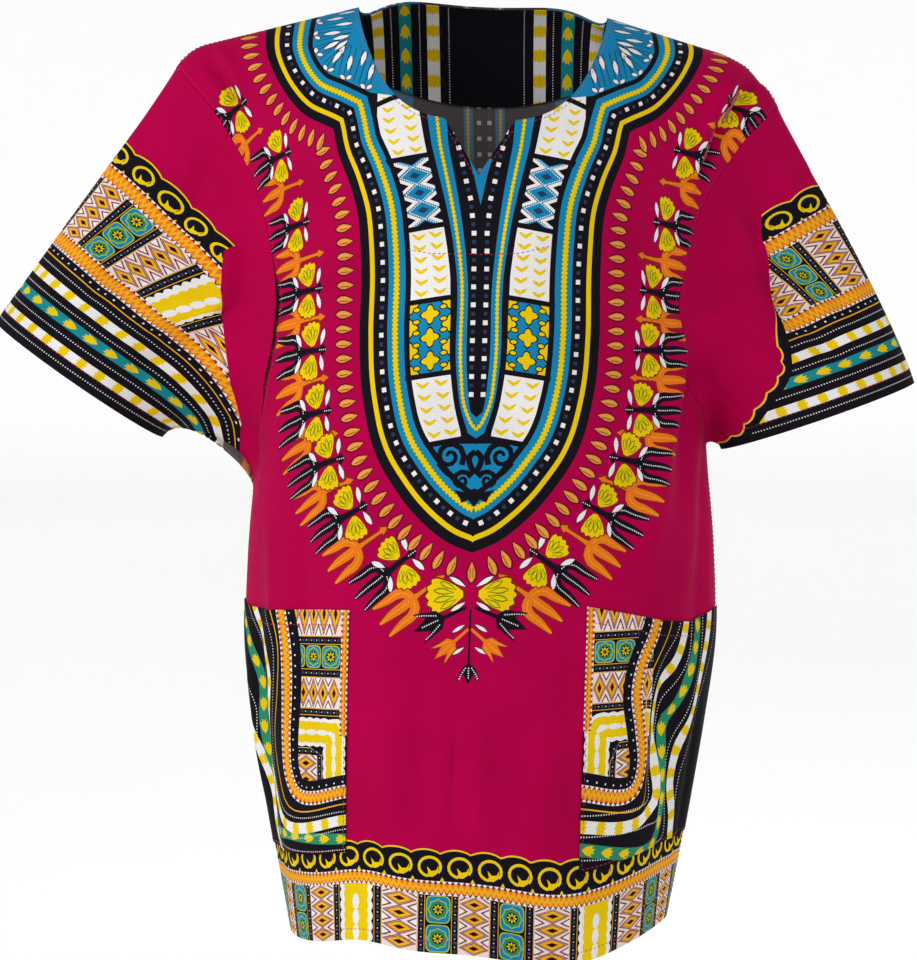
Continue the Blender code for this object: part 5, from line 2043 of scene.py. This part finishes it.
# Half waves of the wave texture in a metre at a scale of 1: one for each thread, over and under in turn
HALF_WAVES = 20.0 / math.pi
PLY_SPACING = 0.0008


def surface(name):
    """A material with no nodes yet, and its node tree."""
    material = bpy.data.materials.new(name)
    material.use_nodes = True
    material.node_tree.nodes.clear()
    return material, material.node_tree


def cotton(name, roughness, weave_shade_depth, soft_depth):
    """Plain-woven cotton dyed through with a resist print. The ink attribute gives its colour. The threads
    cross in rows, which is the sum of two waves; slight unevenness of the dye comes from soft noise. The
    colour is darkened where the weave is low, between the threads: painted shade."""
    material, tree = surface(name)
    flat = node(tree, "ShaderNodeUVMap", {"uv_map": "Cloth"})
    ink = node(tree, "ShaderNodeAttribute", {"attribute_name": "ink"})
    threads = 1.0 / bpy.context.scene.dashiki_cloth.thread_spacing / HALF_WAVES
    warp, weft = [
        node(tree, "ShaderNodeTexWave", {"wave_type": "BANDS", "bands_direction": way, "wave_profile": "SIN"},
             Vector=(flat, "UV"), Scale=threads, Distortion=0.6, Detail=0.0)
        for way in "XY"
    ]
    weave = node(tree, "ShaderNodeMath", {"operation": "ADD"}, _0=(warp, "Fac"), _1=(weft, "Fac"))
    slubs = node(tree, "ShaderNodeTexNoise", Vector=(flat, "UV"), Scale=120.0, Detail=3.0, Roughness=0.6)
    dye = node(tree, "ShaderNodeTexNoise", Vector=(flat, "UV"), Scale=14.0, Detail=2.0, Roughness=0.5)
    # The second map darkens the colour where the weave is low, between the threads: painted shade.
    tone, weave_shade, rough = [
        node(tree, "ShaderNodeMapRange", Value=value, From_Min=low, From_Max=high, To_Min=least, To_Max=most)
        for value, low, high, least, most in (
            ((dye, "Fac"), 0.3, 0.7, 0.90, 1.06),
            ((weave, "Value"), 0.0, 2.0, 1.0 - weave_shade_depth, 1.0 + weave_shade_depth),
            ((slubs, "Fac"), 0.3, 0.7, roughness - 0.06, roughness + 0.06),
        )
    ]
    both = node(tree, "ShaderNodeMath", {"operation": "MULTIPLY"}, _0=(tone, "Result"), _1=(weave_shade, "Result"))
    colour = node(tree, "ShaderNodeVectorMath", {"operation": "SCALE"}, _0=(ink, "Color"), Scale=(both, "Value"))
    fine = node(tree, "ShaderNodeBump", Height=(weave, "Value"), Strength=0.35, Distance=0.00016)
    soft = node(
        tree, "ShaderNodeBump", Height=(dye, "Fac"), Strength=0.5, Distance=soft_depth, Normal=(fine, "Normal")
    )
    shader = node(
        tree, "ShaderNodeBsdfPrincipled",
        Base_Color=(colour, "Vector"), Roughness=(rough, "Result"), Normal=(soft, "Normal"),
        Sheen_Weight=0.01, Sheen_Roughness=0.5, Specular_IOR_Level=0.02,
    )
    node(tree, "ShaderNodeOutputMaterial", Surface=(shader, "BSDF"))
    return material


def sewing_thread():
    """Spun polyester sewing thread: two plies twisted together, so fine slanted ridges and a little gloss. Real
    plies are 0.25 mm apart; these are drawn 0.8 mm apart so that they show."""
    material, tree = surface("Spun polyester sewing thread")
    where = node(tree, "ShaderNodeTexCoord")
    plies = node(
        tree, "ShaderNodeTexWave",
        {"wave_type": "BANDS", "bands_direction": "DIAGONAL", "wave_profile": "SIN"},
        Vector=(where, "Object"), Scale=1.0 / PLY_SPACING / HALF_WAVES,
    )
    twist = node(tree, "ShaderNodeBump", Height=(plies, "Fac"), Strength=0.5, Distance=0.0001)
    shader = node(
        tree, "ShaderNodeBsdfPrincipled",
        Base_Color=(*bpy.context.scene.dashiki_sewing.thread, 1.0), Roughness=0.55, Normal=(twist, "Normal"),
        Sheen_Weight=0.05, Specular_IOR_Level=0.3,
    )
    node(tree, "ShaderNodeOutputMaterial", Surface=(shader, "BSDF"))
    return material


def studio_paper():
    """Seamless background paper: matt, nearly white, and lit through evenly."""
    material, tree = surface("Seamless background paper")
    where = node(tree, "ShaderNodeTexCoord")
    grain = node(tree, "ShaderNodeTexNoise", Vector=(where, "Object"), Scale=40.0, Detail=2.0)
    tone = node(tree, "ShaderNodeMapRange", Value=(grain, "Fac"), To_Min=0.46, To_Max=0.50)
    shader = node(
        tree, "ShaderNodeBsdfPrincipled",
        Base_Color=(tone, "Result"), Roughness=0.9, Emission_Color=(1.0, 1.0, 1.0, 1.0), Emission_Strength=0.56,
    )
    node(tree, "ShaderNodeOutputMaterial", Surface=(shader, "BSDF"))
    return material


# ---------------------------------------------------------------- settings

SENSOR = 36.0
IMAGE_WIDTH = 917
METRES_PER_PIXEL = 0.00082
AIM = (-0.0201, 0.0, -0.381)
FLOOR_HEIGHT = -1.05
ROOM_LIGHT = 0.31

INKS = {
    "crimson": "#A30040",
    "black": "#141218",
    "white": "#DBD9D8",
    "yellow": "#DBB90A",
    "orange": "#D96E1A",
    "ochre": "#D28742",
    "blue": "#147AA6",
    "green": "#298160",
    "olive": "#637D0F",
    "brown": "#6E250D",
    "navy": "#273753",
    "amber": "#DEA220",
    "blush": "#DFC8C4",
    "plum": "#340827",
    "teal": "#187E86",
    "lime": "#A3AE25",
}


class DASHIKI_PG_inks(bpy.types.PropertyGroup):
    """Colours of the print."""

    __annotations__ = {
        name: FloatVectorProperty(
            name=name.capitalize(),
            description=f"Dye of the {name} parts of the print",
            subtype="COLOR",
            size=3,
            min=0.0,
            max=1.0,
            default=linear(colour),
        )
        for name, colour in INKS.items()
    }


class DASHIKI_PG_cloth(bpy.types.PropertyGroup):
    """Sizes of the cloth."""

    thickness: FloatProperty(
        name="Cloth thickness", description="Thickness of the front, the back and the sleeves",
        default=0.0010, min=0.0003, max=0.0015, precision=4, subtype="DISTANCE", unit="LENGTH",
    )
    trim_thickness: FloatProperty(
        name="Trim thickness", description="Thickness of the pockets, the facing and the turned hems",
        default=0.0008, min=0.0003, max=0.0012, precision=4, subtype="DISTANCE", unit="LENGTH",
    )
    fineness: FloatProperty(
        name="Fineness", description="Distance between the points that carry the cloth's shape",
        default=0.0063, min=0.002, max=0.02, precision=4, subtype="DISTANCE", unit="LENGTH",
    )
    thread_spacing: FloatProperty(
        name="Thread spacing",
        description="Distance between threads of the weave, drawn four times as coarse as it is so that it shows",
        default=0.0012, min=0.0003, max=0.004, precision=4, subtype="DISTANCE", unit="LENGTH",
    )


class DASHIKI_PG_sewing(bpy.types.PropertyGroup):
    """Sizes of the stitches."""

    stitch_length: FloatProperty(
        name="Stitch length", description="Length of one stitch", default=0.0029, subtype="DISTANCE", unit="LENGTH"
    )
    stitch_gap: FloatProperty(
        name="Stitch gap", description="Cloth between two stitches", default=0.0011, subtype="DISTANCE", unit="LENGTH"
    )
    thread_width: FloatProperty(
        name="Thread width", description="Width of the thread", default=0.00055, subtype="DISTANCE", unit="LENGTH"
    )
    thread: FloatVectorProperty(
        name="Thread", description="Colour of the thread",
        subtype="COLOR", size=3, min=0.0, max=1.0, default=linear("#9E1850"),
    )


class DASHIKI_PG_studio(bpy.types.PropertyGroup):
    """Place of the camera."""

    turn: FloatProperty(
        name="Camera turn", description="Angle of the camera round the shirt",
        default=math.radians(3.0), subtype="ANGLE", unit="ROTATION",
    )
    distance: FloatProperty(
        name="Camera distance", description="Distance from the camera to the shirt",
        default=2.0, min=1.0, max=6.0, subtype="DISTANCE", unit="LENGTH",
    )


# ---------------------------------------------------------------- operators

PANELS = {"front_panel": Panel("front"), "back_panel": Panel("back")}
SLEEVES = {name: Sleeve(name, tuple(PANELS.values())) for name in CUFFS}
SIDES = {"pocket_left": 1.0, "pocket_right": -1.0}
SLEEVE_PHASES = {"sleeve_right": 0.105, "sleeve_left": -0.026}
PANEL_WIDTH_DRAWN = 0.29
POCKET_TOP_DRAWN = 0.2578
POCKET_LIFT = 0.0014
FACING_LIFT = 0.0023
TURN_UP_LIFT = 0.0012
HEM_TURN_UP = 0.016
CUFF_TURN_UP = 0.019


# Sleeves, pockets and the facing bend more tightly than the panels, so their points lie closer
SMALL_PIECE_SHARE = 0.6


def ink_table():
    inks = bpy.context.scene.dashiki_inks
    return np.array([getattr(inks, name)[:] for name in INKS])


def cottons(kind):
    """The two sides of a printed cotton: dye lies full on the right side and pale on the wrong one."""
    # The third number darkens each side's weave where it is low: painted shade between the threads, twice as deep on
    # the wrong side.
    face = cotton(f"Wax-printed plain-weave cotton, {kind}, right side", 0.74, 0.05, 0.0010)
    reverse = cotton(f"Wax-printed plain-weave cotton, {kind}, wrong side", 0.84, 0.10, 0.0010)
    return face, reverse


def cut_size(outline):
    """Width, length and area of a flat outline."""
    width, length = np.ptp(outline, axis=0)
    return (round(float(width), 4), round(float(length), 4)), round(abs(turning(outline)) / 2, 5)


def sleeve_cut(cloth):
    """Width, length and area that a sleeve was cut to: it is widest where its underarm seam ends."""
    rounds = np.linalg.norm(np.diff(cloth.points, axis=0), axis=2)
    tops = np.interp(cloth.flat[:-1, 0, 0], cloth.tops[:, 0], cloth.tops[:, 1])
    inside = cloth.flat[:-1, :, 1] <= tops[:, None]
    widest = rounds[:, inside.all(axis=0)].sum(axis=0).max()
    area = np.sum(rounds[inside]) * TABLE_STEP
    return (round(float(widest), 4), round(float(tops.max()), 4)), round(float(area), 5)


def turned_edge(name, cloth, width, materials):
    """The strip of cloth that is turned up inside along a cloth's lower edge."""
    if isinstance(cloth, Panel):
        climb = np.linspace(0.0, width / BODY_LENGTH, 8)
        right = np.stack([edge_reach(climb, cloth.panel) - 0.003, climb * BODY_LENGTH], axis=1)
    else:
        right = np.stack([np.full(8, cloth.round / 2 - 0.003), np.linspace(0.0, width, 8)], axis=1)
    low = np.linspace(-right[0][0], right[0][0], 160)[1:-1]
    low = np.stack([low, np.full(158, 0.0)], axis=1)
    high = np.stack([np.linspace(right[-1][0], -right[-1][0], 160)[1:-1], np.full(158, width)], axis=1)
    outline = np.concatenate([low, right, high, (right * [-1.0, 1.0])[::-1]]) + [0.0, 0.0006]
    thickness = bpy.context.scene.dashiki_cloth.trim_thickness
    piece = sewn_cloth(name, Lining(cloth), outline, Print(), ink_table(), materials, TURN_UP_LIFT, thickness)
    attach(piece, "root")
    return piece


def dress(name, cloth, outline, art, materials, lift=None):
    """Makes a cloth that stands for a solid of the frame."""
    sizes = bpy.context.scene.dashiki_cloth
    thickness = sizes.thickness if lift is None else sizes.trim_thickness
    spacing = sizes.fineness * (1.0 if name in PANELS else SMALL_PIECE_SHARE)
    piece = sewn_cloth(name + "_cloth", cloth, outline, art, ink_table(), materials, lift or 0.0, thickness, spacing)
    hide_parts(name)
    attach(piece, "root")
    return piece


class DASHIKI_OT_sleeves(bpy.types.Operator):
    """Builds both sleeves, each one cloth round the arm with its border and its turned cuff"""

    bl_idname = "dashiki.sleeves"
    bl_label = "Sleeves"

    def execute(self, context):
        materials = cottons("sleeve")
        for name, cloth in SLEEVES.items():
            reach = cloth.round / 2 + 0.001
            art = sleeve_print(name, -reach, reach, SLEEVE_PHASES[name])
            outline = cloth.outline()
            piece = dress(name, cloth, outline, art, materials)
            cuff = turned_edge(name + "_turn_up", cloth, CUFF_TURN_UP, materials)
            flat, area = sleeve_cut(cloth)
        return {"FINISHED"}


class DASHIKI_OT_panels(bpy.types.Operator):
    """Builds the front and the back, flat prints laid on the shirt's own shape, with their turned hems"""

    bl_idname = "dashiki.panels"
    bl_label = "Front and back"

    def execute(self, context):
        materials = cottons("body")
        for name, cloth in PANELS.items():
            art = neck_print(cloth.neckline(), name == "back_panel")
            art.add(hem_print(-PANEL_WIDTH_DRAWN, PANEL_WIDTH_DRAWN))
            outline = cloth.outline()
            piece = dress(name, cloth, outline, art, materials)
            hem = turned_edge(name + "_turn_up", cloth, HEM_TURN_UP, materials)
            flat, area = cut_size(outline)
        return {"FINISHED"}


class DASHIKI_OT_pockets(bpy.types.Operator):
    """Builds the two patch pockets on the front"""

    bl_idname = "dashiki.pockets"
    bl_label = "Pockets"

    def execute(self, context):
        materials = cottons("pocket")
        for name, side in SIDES.items():
            outline = pocket_outline(name, side)
            art = pocket_print(name, side, POCKET_TOP_DRAWN)
            piece = dress(name, PANELS["front_panel"], outline, art, materials, POCKET_LIFT)
            flat, area = cut_size(outline)
        return {"FINISHED"}


class DASHIKI_OT_facing(bpy.types.Operator):
    """Builds the facing inside the back neck"""

    bl_idname = "dashiki.facing"
    bl_label = "Back neck facing"

    def execute(self, context):
        back = PANELS["back_panel"]
        outline = facing_outline(back)
        art = facing_print(0.60, 0.84)
        piece = dress(
            "back_neck_facing", Lining(back), outline, art, cottons("facing"), FACING_LIFT
        )
        flat, area = cut_size(outline)
        return {"FINISHED"}


class DASHIKI_OT_stitching(bpy.types.Operator):
    """Sews every stitch line: hems, neckline, seams, cuffs and pockets"""

    bl_idname = "dashiki.stitching"
    bl_label = "Stitching"

    def execute(self, context):
        thread = sewing_thread()
        sizes = context.scene.dashiki_cloth
        top = sizes.thickness / 2
        pocket_top = POCKET_LIFT + sizes.trim_thickness / 2
        front = PANELS["front_panel"]
        for name, cloth in PANELS.items():
            stitching(name + "_stitches", panel_runs(cloth, top), thread)
        stitching("cuff_stitches", [run for cloth in SLEEVES.values() for run in cuff_runs(cloth, top)], thread)
        pockets = [run for name, side in SIDES.items() for run in pocket_runs(front, name, side, pocket_top)]
        stitching("pocket_stitches", pockets, thread)
        return {"FINISHED"}


class DASHIKI_OT_stage(bpy.types.Operator):
    """Sets up the floor, the backdrop, the lights and the camera"""

    bl_idname = "dashiki.stage"
    bl_label = "Stage"

    def execute(self, context):
        scene = context.scene
        target = Vector(AIM)
        azimuth = scene.dashiki_studio.turn
        distance = scene.dashiki_studio.distance
        camera_data = bpy.data.cameras.new("Camera")
        camera_data.sensor_fit = "HORIZONTAL"
        camera_data.sensor_width = SENSOR
        camera_data.lens = SENSOR * distance / (IMAGE_WIDTH * METRES_PER_PIXEL)
        camera_data.clip_end = 50.0
        camera = put("Camera", camera_data)
        camera.location = target + Vector((math.sin(azimuth), -math.cos(azimuth), 0.0)) * distance
        camera.rotation_euler = (math.pi / 2, 0.0, azimuth)
        scene.camera = camera
        self.bowl()
        for name, where, size, power in (
            ("Key light", (-2.1, -1.7, 0.7), 1.0, 27.0),
            ("Front light", (0.1, -2.3, 1.6), 0.9, 9.5),
            ("Top light", (0.0, 0.3, 2.2), 2.0, 4.0),
            ("Back light", (0.6, 2.2, 1.0), 1.8, 12.0),
        ):
            light_data = bpy.data.lights.new(name, "AREA")
            light_data.size = size
            light_data.energy = power
            light = put(name, light_data)
            light.location = where
            light.rotation_euler = (target - Vector(where)).to_track_quat("-Z", "Y").to_euler()
        scene.view_settings.view_transform = "Standard"
        world = bpy.data.worlds.new("Studio")
        scene.world = world
        world.use_nodes = True
        world.node_tree.nodes["Background"].inputs["Color"].default_value = (1.0, 1.0, 1.0, 1.0)
        world.node_tree.nodes["Background"].inputs["Strength"].default_value = ROOM_LIGHT
        return {"FINISHED"}

    def bowl(self):
        """A round floor that curves up into a wall: radius and height as functions of turn and run."""
        turn = np.linspace(0.0, 2.0 * math.pi, 97)[:-1, None]
        run = np.linspace(0.0, 1.0, 41)[None, :]
        radius = 0.02 + 4.0 * np.minimum(run / 0.6, 1.0)
        rise = 0.9 * smooth_step((run - 0.35) / 0.4) + 3.0 * np.maximum(run - 0.6, 0.0) / 0.4
        points = np.stack([radius * np.cos(turn), radius * np.sin(turn), FLOOR_HEIGHT + rise + 0.0 * turn], axis=-1)
        rows, columns = points.shape[:2]
        index = np.arange(rows * columns).reshape(rows, columns)
        ahead = np.roll(index, -1, axis=0)
        faces = np.stack([index[:, :-1], ahead[:, :-1], ahead[:, 1:], index[:, 1:]], axis=-1).reshape(-1, 4)
        mesh = bpy.data.meshes.new("studio_floor")
        mesh.from_pydata(points.reshape(-1, 3).tolist(), [], faces.tolist() + [index[::-1, 0].tolist()])
        mesh.polygons.foreach_set("use_smooth", np.ones(len(mesh.polygons), bool))
        mesh.materials.append(studio_paper())
        put("studio_floor", mesh)


class DASHIKI_PT_shirt(bpy.types.Panel):
    """Lists the shirt's settings and its pieces"""

    bl_idname = "DASHIKI_PT_shirt"
    bl_label = "Dashiki shirt"
    bl_space_type = "VIEW_3D"
    bl_region_type = "UI"
    bl_category = "Dashiki"

    def draw(self, context):
        layout = self.layout
        for title, settings in SETTINGS:
            column = layout.column(align=True)
            column.label(text=settings.__doc__.rstrip("."))
            group = getattr(context.scene, title)
            for name in settings.__annotations__:
                column.prop(group, name)
        column = layout.column(align=True)
        for kind in OPERATORS:
            column.operator(kind.bl_idname)


SETTINGS = (
    ("dashiki_inks", DASHIKI_PG_inks),
    ("dashiki_cloth", DASHIKI_PG_cloth),
    ("dashiki_sewing", DASHIKI_PG_sewing),
    ("dashiki_studio", DASHIKI_PG_studio),
)
OPERATORS = (
    DASHIKI_OT_panels,
    DASHIKI_OT_sleeves,
    DASHIKI_OT_pockets,
    DASHIKI_OT_facing,
    DASHIKI_OT_stitching,
    DASHIKI_OT_stage,
)


def register():
    for title, settings in SETTINGS:
        bpy.utils.register_class(settings)
        setattr(bpy.types.Scene, title, PointerProperty(type=settings))
    for kind in (*OPERATORS, DASHIKI_PT_shirt):
        bpy.utils.register_class(kind)


def unregister():
    for kind in (DASHIKI_PT_shirt, *reversed(OPERATORS)):
        bpy.utils.unregister_class(kind)
    for title, settings in reversed(SETTINGS):
        delattr(bpy.types.Scene, title)
        bpy.utils.unregister_class(settings)


def main():
    register()
    bpy.ops.dashiki.panels()
    bpy.ops.dashiki.sleeves()
    bpy.ops.dashiki.pockets()
    bpy.ops.dashiki.facing()
    bpy.ops.dashiki.stitching()
    bpy.ops.dashiki.stage()


if __name__ == "__main__":
    main()
